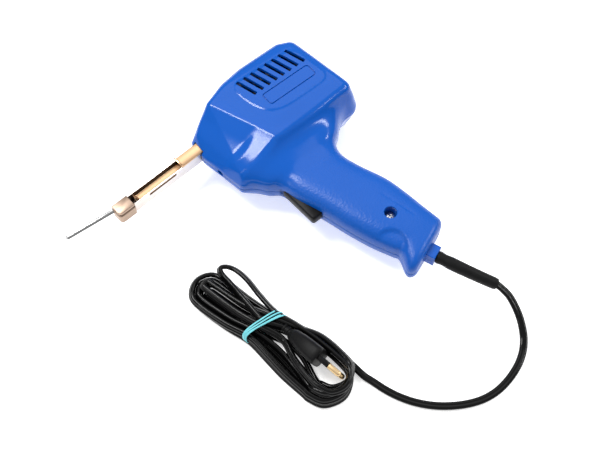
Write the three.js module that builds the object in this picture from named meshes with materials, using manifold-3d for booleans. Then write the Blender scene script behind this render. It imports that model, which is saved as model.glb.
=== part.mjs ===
// Transformer soldering gun lying on its side, with its mains lead coiled beside it.
// Millimetres, +Z up. The barrel points towards -X, the grip towards -Y.
// Inside the model the gun has its own frame: x = 0 where the barrel leaves the nose,
// z = 0 on the parting plane of the two casing halves. The root group moves that frame
// so that the origin is at the middle of the gun's footprint on the table.
import * as THREE from 'three';
import { ConvexGeometry } from 'three/addons/geometries/ConvexGeometry.js';
import { mergeVertices } from 'three/addons/utils/BufferGeometryUtils.js';
import Module from 'manifold-3d';

const HALF_THICKNESS = 28;          // table to parting plane
const FOOTPRINT_CENTRE = [4.03, -73.85];
const WALL = 2.4;                   // casing wall
const GAP = 0.3;                    // air between pieces that touch

const HANDLE_SQUARENESS = 3.2;      // superellipse exponent of the grip's section
const RING_POINTS = 28;

const ARM_TILT = THREE.MathUtils.degToRad(2.8);
const ARM_HALF_WIDTH = 4.4;
const ARM_BOTTOM = -6;
const ARM_RIM = 5;
const ARM_LENGTH = 61;
const ARM_TAIL = 12;                // length hidden inside the nose
const ARM_SHEET = 0.8;
const COVER_LENGTH = 17;            // closed top plate in front of the nose
const CLAMP_LENGTH = 13.5;
const BIT_RADIUS = 1.6;

const TRIGGER_HALF_WIDTH = 4;
const TRIGGER_PIVOT = [33.5, -68.5];
const PIN_RADIUS = 1.5;
const PLUNGER_Y = -88;
const PLUNGER_RADIUS = 1.6;
const SWITCH_FRONT = 50;

const CORE_CENTRE = [76, -12];
const CORE_HALF = [27, 20, 14];
const SLOT_COUNT = 8;
const SLOT_PITCH = 6.55;
const SLOT_FIRST = [52.9, 6.1];
const SLOT_LENGTH = 17.8;
const SLOT_WIDTH = 2.8;
const SLOT_RAKE = THREE.MathUtils.degToRad(-74.5);

const SCREW_AT = [68.7, -132.7];
const LAMP_AT = [0, -24];
const BUTT_CENTRE = [73.6, -167.5];
const BUTT_AXIS = [0.329, -0.944];  // the way the lead leaves the grip
const CORD_WIDTH = 5.5;
const CORD_THICKNESS = 3.4;
const HANK_CENTRE = [-45, -129];
const HANK_AXIS = [0.133, -0.991];
const HANK_BOTTOM = 1.9;            // above the table, so the bands pass below it
const HANK_TOP = 20;
const BAND_WIDTH = 2.2;
const BAND_SHEET = 0.8;
const PLUG_OFFSET = 7.8;            // sideways from the hank's centre line
const PIN_SPACING = 18.6;
const PLUG_PIN_RADIUS = 2;
const PLUG_PIN_LENGTH = 19;

const wasm = await Module();
wasm.setup();

// ---- joining and cutting ----

function toSolid(geometry) {
  const bare = geometry.clone();
  bare.deleteAttribute('normal');
  bare.deleteAttribute('uv');
  const merged = mergeVertices(bare, 1e-4);
  return new wasm.Manifold(new wasm.Mesh({
    numProp: 3,
    vertProperties: new Float32Array(merged.attributes.position.array),
    triVerts: new Uint32Array(merged.index.array),
  }));
}

function toGeometry(solid) {
  const { vertProperties, triVerts } = solid.getMesh();
  const geometry = new THREE.BufferGeometry();
  geometry.setAttribute('position', new THREE.BufferAttribute(vertProperties, 3));
  geometry.setIndex(new THREE.BufferAttribute(triVerts, 1));
  return geometry;
}

function joined(geometries) {
  return geometries.map(toSolid).reduce((a, b) => a.add(b));
}

function cut(geometry, cutters) {
  return toGeometry(cutters.map(toSolid).reduce((a, b) => a.subtract(b), toSolid(geometry)));
}

// ---- basic shapes ----

function block(x0, x1, y0, y1, z0, z1) {
  const geometry = new THREE.BoxGeometry(x1 - x0, y1 - y0, z1 - z0);
  return geometry.translate((x0 + x1) / 2, (y0 + y1) / 2, (z0 + z1) / 2);
}

function post(x, y, z0, z1, radius, sides = 16) {
  const geometry = new THREE.CylinderGeometry(radius, radius, z1 - z0, sides);
  return geometry.rotateX(Math.PI / 2).translate(x, y, (z0 + z1) / 2);
}

function barX(x0, x1, y, z, radius, sides = 16) {
  const geometry = new THREE.CylinderGeometry(radius, radius, x1 - x0, sides);
  return geometry.rotateZ(Math.PI / 2).translate((x0 + x1) / 2, y, z);
}

function plate(outline, z0, z1, holes = []) {
  const shape = new THREE.Shape(outline.map(([x, y]) => new THREE.Vector2(x, y)));
  shape.holes = holes.map((hole) => new THREE.Path(hole.map(([x, y]) => new THREE.Vector2(x, y))));
  const geometry = new THREE.ExtrudeGeometry(shape, { depth: z1 - z0, bevelEnabled: false });
  return geometry.translate(0, 0, z0);
}

function rectangle(x0, x1, y0, y1) {
  return [[x0, y0], [x1, y0], [x1, y1], [x0, y1]];
}

function circle(x, y, radius, count = 16) {
  return Array.from({ length: count }, (_, i) => {
    const angle = (2 * Math.PI * i) / count;
    return [x + radius * Math.cos(angle), y + radius * Math.sin(angle)];
  });
}

// A wire or lead: a round section swept along a smooth curve through the given points.
function wire(points, radius, steps, sides = 8) {
  const section = new THREE.Shape(circle(0, 0, radius, sides).map(([x, y]) => new THREE.Vector2(x, y)));
  const path = new THREE.CatmullRomCurve3(points.map((p) => new THREE.Vector3(...p)));
  return new THREE.ExtrudeGeometry(section, { steps, extrudePath: path, bevelEnabled: false });
}

// A closed skin over a row of rings with equal numbers of points, capped flat at both ends.
// Each ring runs anticlockwise as seen from the last one.
function loft(rings) {
  const count = rings[0].length;
  const last = (rings.length - 1) * count;
  const index = [];
  rings.slice(1).forEach((_, row) => {
    for (let i = 0; i < count; i += 1) {
      const a = row * count + i;
      const b = row * count + ((i + 1) % count);
      index.push(a, b, b + count, a, b + count, a + count);
    }
  });
  for (let i = 1; i < count - 1; i += 1) {
    index.push(0, i + 1, i, last, last + i, last + i + 1);
  }
  const geometry = new THREE.BufferGeometry().setFromPoints(rings.flat());
  return geometry.setIndex(index);
}

// A turned piece: profile points are [radius, height] from the foot to the top.
function turned(profile, sides = 16) {
  return new THREE.LatheGeometry(profile.map(([r, h]) => new THREE.Vector2(r, h)), sides)
    .rotateX(Math.PI / 2);
}

// ---- materials ----

const paint = (color, roughness, metalness = 0) =>
  new THREE.MeshStandardMaterial({ color, roughness, metalness });
const blue = paint(0x1556cc, 0.3);
const black = paint(0x16161a, 0.4);
const nickel = paint(0xc9c4bd, 0.35, 0.9);
const brass = paint(0xe0b184, 0.35, 0.9);
const copper = paint(0xb87050, 0.4, 0.9);
const steel = paint(0xb4b6ba, 0.4, 0.9);
const laminations = paint(0x5d5f63, 0.6, 0.7);
const insulator = paint(0xd8cfae, 0.7);
const cordBlack = paint(0x101012, 0.35);
const teal = paint(0x6cc6cf, 0.5);
const lampGlass = paint(0xf3ead8, 0.15);

const gun = new THREE.Group();
gun.position.set(-FOOTPRINT_CENTRE[0], -FOOTPRINT_CENTRE[1], HALF_THICKNESS);

function add(name, geometry, material, parent = gun) {
  const mesh = new THREE.Mesh(geometry, material);
  mesh.name = name;
  parent.add(mesh);
  return mesh;
}

// ---- casing: head ----
// Corner balls of one half of the head: centre x, y, z and radius. The head is the hull
// of these and their mirror images below the parting plane.

const HEAD_CORNERS = [
  [26.5, 13, 22.5, 5],              // side face, top front
  [44.5, -37.5, 24.4, 3.1],         // side face, bottom front
  [45, 17.8, 20.3, 7.2],            // side face, top, where it swells
  [62, 19.9, 19.5, 8],              // side face, top middle
  [96, 19.9, 19.5, 8],              // side face, top, before the rear corner
  [102.5, 16.5, 19.5, 8],           // side face, top rear
  [109.5, -34.5, 20.5, 7],          // side face, bottom rear
  [8.0, 6.0, 9.3, 3],               // upper end of the nose crease
  [12.6, -38.7, 9.3, 3],            // lower end of the nose crease
  [3.8, 6.3, 3, 3],                 // nose, above the barrel
  [3.0, -8.0, 3, 3.1],              // nose, below the barrel
  [9.6, -42.5, 3, 3.5],             // nose, lower end
  [24, 15, 0, 7],                   // top ridge, front
  [62, 19.5, 0, 8.5],               // top ridge, middle
  [104, 19, 0, 9],                  // top ridge, rear
  [110.3, -37, 0, 10.2],            // rear corner above the grip
];

function headSolid(inset) {
  const points = [];
  for (const [x, y, z, radius] of HEAD_CORNERS) {
    for (const side of z === 0 ? [1] : [1, -1]) {
      const ball = new THREE.SphereGeometry(radius - inset, 12, 8).translate(x, y, side * z);
      const position = ball.attributes.position;
      for (let i = 0; i < position.count; i += 1) {
        points.push(new THREE.Vector3().fromBufferAttribute(position, i));
      }
    }
  }
  return toSolid(new ConvexGeometry(points));
}

// ---- casing: grip ----
// Stations down the grip: front x, y, back x, y and half thickness.

const GRIP_STATIONS = [
  [10, -44, 104, -40, 20],
  [18.5, -57.2, 90.5, -54.5, 16.5],
  [26, -64.5, 81.2, -62, 15.3],
  [30, -79.5, 77.8, -73, 15],
  [36.6, -99.4, 81.5, -88, 15],
  [41.8, -119.8, 88.8, -108, 15],
  [47.4, -137.2, 91.8, -125.7, 14.8],
  [53.7, -152, 93.4, -142, 14.3],
  [55.8, -157.5, 94.4, -149.5, 14],
  [51.4, -169, 95.4, -156.5, 13.4],
  [53.2, -174.6, 94.6, -160.2, 12.4],
];
const HOLLOW_STATIONS = 8;          // the beak below these is solid
const HOLLOW_END = [62.4, -168.4, 92.8, -158.2, 13];
const RINGS_PER_STATION = 3;

function gripRing(front, back, inset) {
  const across = new THREE.Vector2(back.x - front.x, back.y - front.y);
  const half = across.length() / 2 - inset;
  across.normalize();
  const bend = (value) => Math.sign(value) * Math.abs(value) ** (2 / HANDLE_SQUARENESS);
  return Array.from({ length: RING_POINTS }, (_, i) => {
    const angle = (2 * Math.PI * i) / RING_POINTS;
    const u = bend(Math.cos(angle)) * half;
    const w = bend(Math.sin(angle)) * (front.z - inset);
    return new THREE.Vector3((front.x + back.x) / 2 + across.x * u, (front.y + back.y) / 2 + across.y * u, w);
  });
}

// The two edges of the grip run smoothly through the stations.
function gripSolid(stations, inset) {
  const front = new THREE.CatmullRomCurve3(stations.map((s) => new THREE.Vector3(s[0], s[1], s[4])));
  const back = new THREE.CatmullRomCurve3(stations.map((s) => new THREE.Vector3(s[2], s[3], s[4])));
  const count = (stations.length - 1) * RINGS_PER_STATION;
  const rings = Array.from({ length: count + 1 }, (_, i) =>
    gripRing(front.getPoint(i / count), back.getPoint(i / count), inset));
  return toSolid(loft(rings));
}

const gripOuter = gripSolid(GRIP_STATIONS, 0);
const gripHollow = gripSolid([...GRIP_STATIONS.slice(0, HOLLOW_STATIONS), HOLLOW_END], WALL);

// Points near the butt: distance along the lead's way out, and across it.
function buttPoint(along, across) {
  return [
    BUTT_CENTRE[0] + BUTT_AXIS[0] * along - BUTT_AXIS[1] * across,
    BUTT_CENTRE[1] + BUTT_AXIS[1] * along + BUTT_AXIS[0] * across,
  ];
}

function buttBlock(along0, along1, across0, across1, z0, z1) {
  return plate([
    buttPoint(along0, across0), buttPoint(along1, across0),
    buttPoint(along1, across1), buttPoint(along0, across1),
  ], z0, z1);
}

function buttCylinder(along0, along1, radius, sides = 16) {
  const [x, y] = buttPoint((along0 + along1) / 2, 0);
  return new THREE.CylinderGeometry(radius, radius, along1 - along0, sides)
    .rotateZ(Math.atan2(BUTT_AXIS[1], BUTT_AXIS[0]) - Math.PI / 2)
    .translate(x, y, 0);
}

const COLLAR_END = 6.8;
const NECK_RADIUS = 3;
const collar = buttBlock(-2, COLLAR_END, -5.3, 5.3, -5.6, 5.6);
const collarBore = buttCylinder(-8, COLLAR_END + 2, NECK_RADIUS + GAP);

// ---- casing: openings and inner posts ----

function ventSlots(z0, z1) {
  const step = [Math.cos(SLOT_RAKE), Math.sin(SLOT_RAKE)];
  return Array.from({ length: SLOT_COUNT }, (_, i) => new THREE.BoxGeometry(SLOT_LENGTH, SLOT_WIDTH, z1 - z0)
    .rotateZ(Math.atan2(step[1], step[0]))
    .translate(SLOT_FIRST[0] + i * SLOT_PITCH, SLOT_FIRST[1], (z0 + z1) / 2));
}

const PAD_OUTLINE = [[44.5, 15], [43.5, -1], [50, -19], [57, -26], [67, -27.5], [107, -25], [103, 13]];
const labelRecess = plate(rectangle(57.5, 100, -16.5, -7), HALF_THICKNESS - 0.5, HALF_THICKNESS + 1);
const triggerSlot = plate([[18, -63.9], [33, -63.9], [46, -99.2], [22, -99.2]],
  -TRIGGER_HALF_WIDTH - 0.4, TRIGGER_HALF_WIDTH + 0.4);
const armWindow = block(-8, 12, -5.4, 5.4, ARM_BOTTOM - 0.8, ARM_RIM + 2);
const lampHole = barX(-8, 16, LAMP_AT[1], LAMP_AT[0], 2.7, 20);

const BOSS_SIDE = 13;
const COUNTERBORE_DEPTH = 6.6;
const CORE_POSTS = [CORE_CENTRE[0] - CORE_HALF[0] - 5.5, CORE_CENTRE[0] + CORE_HALF[0] + 5.5];
const CORE_LUG = -6;
const CLAMP_AT = -17;               // cable clamp, along the lead's way from the butt
const CLAMP_BAR = [3.4, 6.2];
const CLAMP_SCREWS = [-5, 7.4];      // across the lead

const casing = headSolid(0).add(gripOuter)
  .add(toSolid(plate(PAD_OUTLINE, HALF_THICKNESS - 3, HALF_THICKNESS - 0.001)))
  .add(toSolid(plate(PAD_OUTLINE, -HALF_THICKNESS, 3 - HALF_THICKNESS)))
  .subtract(headSolid(WALL).add(gripHollow))
  .add(toSolid(collar))
  .subtract(toSolid(collarBore))
  .subtract(toSolid(armWindow))
  .subtract(toSolid(lampHole))
  .subtract(toSolid(triggerSlot));

function casingHalf(side) {
  const far = HALF_THICKNESS + 5;
  const near = GAP / 2;
  const span = (z0, z1) => (side > 0 ? [z0, z1] : [-z1, -z0]);
  const room = toSolid(block(-20, 140, -190, 50, ...span(near, far)));
  const trigger = post(...TRIGGER_PIVOT, ...span(TRIGGER_HALF_WIDTH + 0.6, 12.4), 3.2);
  const screw = post(...SCREW_AT, ...span(near, BOSS_SIDE), side > 0 ? 6.2 : 4.2, 20);
  const ribs = [-7.4, 6.2].map((y) => block(7, 9, y, y + 1.2, ...span(near, 10.5)));
  const posts = [trigger, screw, ...ribs];
  const holes = [post(...TRIGGER_PIVOT, ...span(TRIGGER_HALF_WIDTH, 11.8), PIN_RADIUS + GAP)];
  holes.push(...ventSlots(...span(HALF_THICKNESS - 6, HALF_THICKNESS + 2)));
  if (side > 0) {
    holes.push(post(...SCREW_AT, COUNTERBORE_DEPTH, 20, 4.5, 20));
    holes.push(post(...SCREW_AT, -1, 20, 1.9));
    holes.push(labelRecess);
  } else {
    holes.push(post(...SCREW_AT, -11, 1, 1.8));
    for (const x of CORE_POSTS) {
      posts.push(post(x, CORE_CENTRE[1], -26, CORE_LUG - GAP, 3.4));
      holes.push(post(x, CORE_CENTRE[1], -22, 0, 1.8));
    }
    for (const across of CLAMP_SCREWS) {
      const at = buttPoint(CLAMP_AT, across);
      posts.push(post(...at, -12, CLAMP_BAR[0] - GAP, 2.8));
      holes.push(post(...at, -8, 8, 1.5));
    }
  }
  const half = posts.reduce((solid, geometry) => solid.add(toSolid(geometry)), casing.intersect(room));
  return toGeometry(holes.reduce((solid, geometry) => solid.subtract(toSolid(geometry)), half));
}

add('housing_upper', casingHalf(1), blue);
add('housing_lower', casingHalf(-1), blue);
add('handle_screw', turned([
  [0, -9], [1.5, -8], [1.5, COUNTERBORE_DEPTH + GAP], [3.8, COUNTERBORE_DEPTH + GAP],
  [3.8, 8.2], [2.6, 9.2], [0, 9.4],
]).translate(...SCREW_AT, 0), steel);

// ---- barrel: sheet-metal arm with the current-carrying strips inside ----

const arm = new THREE.Group();
arm.position.set(0, -0.3, 0);
arm.rotation.z = ARM_TILT;
gun.add(arm);

// Profiles of the arm are drawn across it (y, z) and extruded along x.
function alongArm(outline, x0, x1) {
  return plate(outline, 0, x1 - x0).rotateX(Math.PI / 2).rotateZ(Math.PI / 2).translate(x0, 0, 0);
}

const inside = ARM_HALF_WIDTH - ARM_SHEET;
const sideSlit = block(-47, -23.5, -ARM_HALF_WIDTH - 1, -inside + 0.2, 2, 3.7);
add('arm_channel', cut(alongArm([
  [-ARM_HALF_WIDTH, ARM_BOTTOM], [ARM_HALF_WIDTH, ARM_BOTTOM], [ARM_HALF_WIDTH, ARM_RIM],
  [inside, ARM_RIM], [inside, ARM_BOTTOM + ARM_SHEET], [-inside, ARM_BOTTOM + ARM_SHEET],
  [-inside, ARM_RIM], [-ARM_HALF_WIDTH, ARM_RIM],
], -ARM_LENGTH, ARM_TAIL), [sideSlit]), nickel, arm);

const coverBottom = ARM_RIM + GAP;
const sideProfile = (outline, halfWidth) => plate(outline, 0, 2 * halfWidth)
  .rotateX(Math.PI / 2).translate(0, halfWidth, 0);
add('arm_cover', sideProfile([
  [-COVER_LENGTH, coverBottom], [ARM_TAIL, coverBottom], [ARM_TAIL, coverBottom + ARM_SHEET],
  [-COVER_LENGTH + ARM_SHEET, coverBottom + ARM_SHEET], [-COVER_LENGTH - 0.6, coverBottom + 3],
  [-COVER_LENGTH - 1.4, coverBottom + 2.8],
], ARM_HALF_WIDTH), brass, arm);

const STRIP_HALF_WIDTH = inside - GAP;
const STRIP_TOP = 0.4;
add('inner_conductor', sideProfile([
  [ARM_TAIL, STRIP_TOP - 1.2], [ARM_TAIL, STRIP_TOP], [-55.6, STRIP_TOP], [-57.4, ARM_RIM - 0.4],
  [-58.6, ARM_RIM - 0.4], [-57, STRIP_TOP - 1.2],
], STRIP_HALF_WIDTH), brass, arm);
add('mica_strip', block(-57, ARM_TAIL, -STRIP_HALF_WIDTH, STRIP_HALF_WIDTH,
  STRIP_TOP - 2.7, STRIP_TOP - 1.5), insulator, arm);

// The clamp is a folded cap over the end of the channel, with one corner rounded off.
const CLAMP_FROM = -ARM_LENGTH - GAP;
const CLAMP_TO = CLAMP_FROM - CLAMP_LENGTH;
const clampOutline = [
  [CLAMP_FROM, -5], [CLAMP_FROM, 4.8], [CLAMP_TO + 1, 4.8], [CLAMP_TO, 4],
  [CLAMP_TO, -1.6], [CLAMP_TO + 1.2, -3.6], [CLAMP_TO + 3.4, -4.8], [CLAMP_TO + 5, -5],
];
const RIVET_X = CLAMP_FROM - 4;
const BIT_ROOT = [-73.4, 4.4];
const BIT_END = [-112, 9.6];
const bitAngle = Math.atan2(BIT_END[1] - BIT_ROOT[1], BIT_END[0] - BIT_ROOT[0]);

function alongBit(x0, x1, radius, tipRadius) {
  return new THREE.CylinderGeometry(tipRadius, radius, x1 - x0, 14)
    .translate(0, (x0 + x1) / 2, 0)
    .rotateZ(bitAngle - Math.PI / 2)
    .translate(...BIT_ROOT, 0);
}

const bitLength = Math.hypot(BIT_END[0] - BIT_ROOT[0], BIT_END[1] - BIT_ROOT[1]);
const clampHollow = block(CLAMP_TO + 2.4, 0, -3.9, 3.7, -5.4, 5.2);
const bitHole = (clearance) => alongBit(-8, 10, BIT_RADIUS + clearance, BIT_RADIUS + clearance);
add('tip_clamp', cut(plate(clampOutline, ARM_BOTTOM - 0.9, ARM_RIM + 1.6),
  [clampHollow, bitHole(GAP), post(RIVET_X, -0.2, -8, 0, 1.3, 12)]), nickel, arm);
add('tip_socket', cut(block(CLAMP_TO + 2.7, CLAMP_FROM - 0.4, -3.6, 3.4, -5.1, 4.9),
  [bitHole(GAP), post(RIVET_X, -0.2, -8, 8, 1.3, 12)]), copper, arm);
add('clamp_rivet', turned([
  [0, -7.8], [1.6, -7.8], [1.6, ARM_BOTTOM - 1.2], [1, ARM_BOTTOM - 1.2], [1, -5.3], [0, -5.3],
], 12).translate(RIVET_X, -0.2, 0), steel, arm);
add('soldering_bit', toGeometry(joined([
  alongBit(-7, bitLength - 1.5, BIT_RADIUS, BIT_RADIUS),
  alongBit(bitLength - 1.5, bitLength, BIT_RADIUS, 0.9),
])), steel, arm);

// ---- lamp in the nose ----

add('lamp_bulb', new THREE.LatheGeometry([
  [0, -6], [2.2, -6], [2.2, 1], [1.7, 2.2], [0.9, 2.9], [0, 3.1],
].map(([r, h]) => new THREE.Vector2(r, h)), 16).rotateZ(Math.PI / 2)
  .translate(8.6, LAMP_AT[1], LAMP_AT[0]), lampGlass);
add('lamp_holder', block(14.9, 22, LAMP_AT[1] - 4, LAMP_AT[1] + 4, -4.5, 4.5), black);

// ---- transformer: laminated core, bobbin, mains winding and one heavy copper turn ----

const [coreX, coreY] = CORE_CENTRE;
const [coreHalfX, coreHalfY, coreHalfZ] = CORE_HALF;
const LEG_HALF = 7;
const WINDOW_OUT = 18;
const WINDOW_HALF_Y = 13;
const coreWindow = (side) => block(
  coreX + Math.min(side * LEG_HALF, side * WINDOW_OUT), coreX + Math.max(side * LEG_HALF, side * WINDOW_OUT),
  coreY - WINDOW_HALF_Y, coreY + WINDOW_HALF_Y, -coreHalfZ - 1, coreHalfZ + 1);
add('transformer_core', cut(block(coreX - coreHalfX, coreX + coreHalfX, coreY - coreHalfY,
  coreY + coreHalfY, -coreHalfZ, coreHalfZ), [coreWindow(-1), coreWindow(1)]), laminations);

// A rectangular sleeve round the middle leg, from y0 to y1.
function legSleeve(innerX, innerZ, outerX, outerZ, y0, y1) {
  return plate(rectangle(-outerX, outerX, -outerZ, outerZ), 0, y1 - y0,
    [rectangle(-innerX, innerX, -innerZ, innerZ)])
    .rotateX(Math.PI / 2).translate(coreX, y1, 0);
}

const coilFrom = coreY - WINDOW_HALF_Y + GAP;
const coilTo = coreY + 6;
add('coil_bobbin', toGeometry(joined([
  legSleeve(7.3, 14.3, 8.1, 15.1, coilFrom, coilTo),
  legSleeve(7.3, 14.3, 17, 22.4, coilFrom, coilFrom + 0.8),
  legSleeve(7.3, 14.3, 17, 22.4, coilTo - 0.8, coilTo),
])), insulator);
add('primary_winding', legSleeve(8.4, 15.4, 15.8, 21.4, coilFrom + 1.1, coilTo - 1.1), copper);
const LOOP_SHEET = 2.2;
const LOOP_FROM = coilTo + GAP;
const loopOutline = [
  [14, 1.4], [34, 2.4], [47, 16.2], [coreX + 15, 16.2], [coreX + 15, -16.2], [47, -16.2],
  [34, -2.4], [14, -1.4], [14, -1.4 - LOOP_SHEET], [35, -2.4 - LOOP_SHEET],
  [48, -16.2 - LOOP_SHEET], [coreX + 15 + LOOP_SHEET, -16.2 - LOOP_SHEET],
  [coreX + 15 + LOOP_SHEET, 16.2 + LOOP_SHEET], [48, 16.2 + LOOP_SHEET],
  [35, 2.4 + LOOP_SHEET], [14, 1.4 + LOOP_SHEET],
];
add('secondary_loop', plate(loopOutline, 0, coreY + WINDOW_HALF_Y - GAP - LOOP_FROM)
  .rotateX(Math.PI / 2).translate(0, coreY + WINDOW_HALF_Y - GAP, 0), copper);

const bandInner = [coreHalfX + GAP, coreHalfY + GAP];
const bandOuter = [bandInner[0] + 1.2, bandInner[1] + 1.2];
const lug = (x) => plate(rectangle(x - 4, x + 4, coreY - 4, coreY + 4), CORE_LUG, CORE_LUG + 1.5);
const coreBand = joined([
  plate(rectangle(coreX - bandOuter[0], coreX + bandOuter[0], coreY - bandOuter[1], coreY + bandOuter[1]),
    CORE_LUG, -CORE_LUG,
    [rectangle(coreX - bandInner[0], coreX + bandInner[0], coreY - bandInner[1], coreY + bandInner[1])]),
  ...CORE_POSTS.map(lug),
]);
const coreBandSolid = [
  ...CORE_POSTS.map((x) => post(x, coreY, -12, 2, 1.8)),
  block(coreX - bandInner[0], coreX + bandInner[0], coreY - bandInner[1], coreY + bandInner[1], -10, 10),
].reduce((solid, geometry) => solid.subtract(toSolid(geometry)), coreBand);
add('core_band', toGeometry(coreBandSolid), steel);
CORE_POSTS.forEach((x, i) => {
  const foot = CORE_LUG + 1.5 + GAP;
  add(`core_screw_${i + 1}`, turned([
    [0, -18], [1.5, -17.4], [1.5, foot], [2.9, foot], [2.9, foot + 1.4], [0, foot + 2],
  ], 12).translate(x, coreY, 0), steel);
});

// ---- trigger, its pin and spring, and the switch it works ----

const triggerOutline = [
  [26.9, -65], [28.1, -94.8], [28.6, -96.8], [29.8, -98], [31.2, -98.3], [41.5, -98.1],
  [41.5, -76], [38, -65],
];
add('trigger', cut(plate(triggerOutline, -TRIGGER_HALF_WIDTH, TRIGGER_HALF_WIDTH),
  [post(...TRIGGER_PIVOT, -9, 9, PIN_RADIUS + GAP)]), black);
add('trigger_pin', post(...TRIGGER_PIVOT, -11.5, 11.5, PIN_RADIUS), steel);
add('trigger_spring', wire([
  [42.2, -66.5, -3.2], [43.6, -70, -3.2], [45.6, -71.4, -2.4], [47.2, -69.4, -1.4],
  [45.4, -67.6, -0.4], [43.9, -69.6, 0.6], [45.6, -71.6, 1.6], [47.6, -69.8, 2.4],
  [49, -62, 3], [50, -54, 3],
], 0.4, 40, 6), steel);

add('switch_body', cut(block(SWITCH_FRONT, 66, -98, -78, -5, 5),
  [barX(SWITCH_FRONT - 2, 61, PLUNGER_Y, 0, PLUNGER_RADIUS + GAP, 14)]), black);
add('switch_plunger', barX(42, 54, PLUNGER_Y, 0, PLUNGER_RADIUS, 14), paint(0xd8d2c4, 0.5));

// ---- leads and the clamp that holds them ----

add('lead_live', wire([
  [...buttPoint(-6.2, -0.4), 0], [...buttPoint(-16, -0.4), 0], [...buttPoint(-24, -1.6), -0.6],
  [61.4, -137, -1.5], [59.4, -127, -2], [58, -112, -2], [58, -98.6, 0],
], 1.1, 18, 6), paint(0x7a4a2a, 0.5));
add('lead_neutral', wire([
  [...buttPoint(-6.2, 2.6), 0], [...buttPoint(-16, 2.6), 0], [...buttPoint(-23, 3.4), -0.6],
  [76, -138, -1.5], [78, -131, -2], [77, -118, -3], [73.5, -98, -5], [71, -80, -7], [69, -62, -8],
  [69, -48, -9], [69.5, -39, -12.5], [70, -32, -17.6], [70.5, -25.6, -19],
], 1.1, 32, 6), paint(0x2c5fb8, 0.5));
add('lead_switched', wire([
  [60, -77.4, 0], [60, -64, 2], [62, -50, 6], [65, -42, 10], [68, -37, 14], [69.5, -32, 17.6],
  [70, -25.6, 19],
], 1.1, 18, 6), paint(0x7a4a2a, 0.5));

const clampBar = cut(buttBlock(CLAMP_AT - 2.5, CLAMP_AT + 2.5, -7.8, 10.2, ...CLAMP_BAR),
  CLAMP_SCREWS.map((across) => post(...buttPoint(CLAMP_AT, across), 0, 9, 1.6)));
add('cable_clamp', clampBar, black);
CLAMP_SCREWS.forEach((across, i) => {
  const foot = CLAMP_BAR[1] + GAP;
  add(`cable_clamp_screw_${i + 1}`, turned([
    [0, -6], [1.2, -5.4], [1.2, foot], [2.5, foot], [2.5, foot + 1.2], [0, foot + 1.8],
  ], 12).translate(...buttPoint(CLAMP_AT, across), 0), steel);
});

// ---- lead: strain-relief sleeve, free run, tied hank and flat two-pin plug ----

const SLEEVE_STEPS = 9;
const SLEEVE_RADII = [4.7, 4.2];
const sleeveCurve = new THREE.QuadraticBezierCurve3(
  new THREE.Vector3(...buttPoint(COLLAR_END + GAP, 0), 0),
  new THREE.Vector3(...buttPoint(COLLAR_END + 20, 0), 0),
  new THREE.Vector3(97.2, -212.6, -11.4),
);

function sleeveRing(t) {
  const centre = sleeveCurve.getPoint(t);
  const tangent = sleeveCurve.getTangent(t);
  const up = new THREE.Vector3(0, 0, 1);
  const aside = new THREE.Vector3().crossVectors(up, tangent).normalize();
  const upright = new THREE.Vector3().crossVectors(tangent, aside);
  const radius = THREE.MathUtils.lerp(...SLEEVE_RADII, t);
  return circle(0, 0, radius, 12).map(([u, w]) => centre.clone()
    .addScaledVector(aside, u).addScaledVector(upright, w));
}

const sleeveBody = loft(Array.from({ length: SLEEVE_STEPS }, (_, i) => sleeveRing(i / (SLEEVE_STEPS - 1))));
add('cord_sleeve', toGeometry(toSolid(sleeveBody)
  .add(toSolid(buttCylinder(-5, COLLAR_END + 1, NECK_RADIUS)))
  .add(toSolid(buttCylinder(-5, -3.2, 3.9)))), cordBlack);

const LAID = CORD_THICKNESS / 2 + 0.5 - HALF_THICKNESS;
const CORD_ROUTE = [
  [97.8, -213.5, -11.9], [99.2, -218.6, -13.9], [99.9, -224.2, -16.1], [99, -230.5, -18.6],
  [96.9, -237.5, -21], [93.4, -244.6, -23.2], [88.6, -251.2, -24.9], [82.4, -256.6, -25.8],
  [75, -260.6, LAID], [66.6, -263.4, LAID], [57.4, -265.1, LAID], [47.8, -265.4, LAID],
  [38.2, -263.8, LAID], [29, -260.2, LAID], [20.2, -255, LAID], [12, -248.6, LAID],
  [4.8, -241.2, LAID], [-1.2, -233, LAID], [-5.9, -224.2, LAID], [-9.3, -215.2, LAID],
  [-11.6, -206.4, LAID],
];
const CORD_STEPS = 34;
const cordSection = new THREE.Shape(circle(0, 0, 1, 8)
  .map(([x, y]) => new THREE.Vector2((x * CORD_WIDTH) / 2, (y * CORD_THICKNESS) / 2)));
add('cord', new THREE.ExtrudeGeometry(cordSection, {
  steps: CORD_STEPS,
  bevelEnabled: false,
  extrudePath: new THREE.CatmullRomCurve3(CORD_ROUTE.map((p) => new THREE.Vector3(...p))),
}), cordBlack);

// Hank frame: x runs along the hank towards the plug's pins, y across it, z up from the table.
const hank = new THREE.Group();
hank.position.set(...HANK_CENTRE, -HALF_THICKNESS);
hank.rotation.z = Math.atan2(HANK_AXIS[1], HANK_AXIS[0]);
gun.add(hank);

const hankOutline = new THREE.SplineCurve([
  [-60, -4], [-56, -15], [-44, -20], [-18, -16.5], [0, -14.4], [20, -15.5], [45, -16.5], [62, -13.5],
  [72, -7], [76, 4], [73, 15], [65, 22], [52, 25], [40, 24], [20, 17.5], [0, 14.4],
  [-18, 15], [-40, 16.5], [-52, 13], [-58, 5], [-60, -4],
].map(([x, y]) => new THREE.Vector2(x, y))).getPoints(44).slice(0, -1);
const hankOpening = [
  [14, 3.4], [30, -1], [40, -3], [60, -2], [66, 2], [67.6, 7.8], [66, 12], [60, 15.4],
  [30, 15.2], [14, 12.2],
];
add('cord_hank', plate(hankOutline.map((p) => [p.x, p.y]), HANK_BOTTOM, HANK_TOP, [hankOpening]),
  cordBlack, hank);

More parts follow.
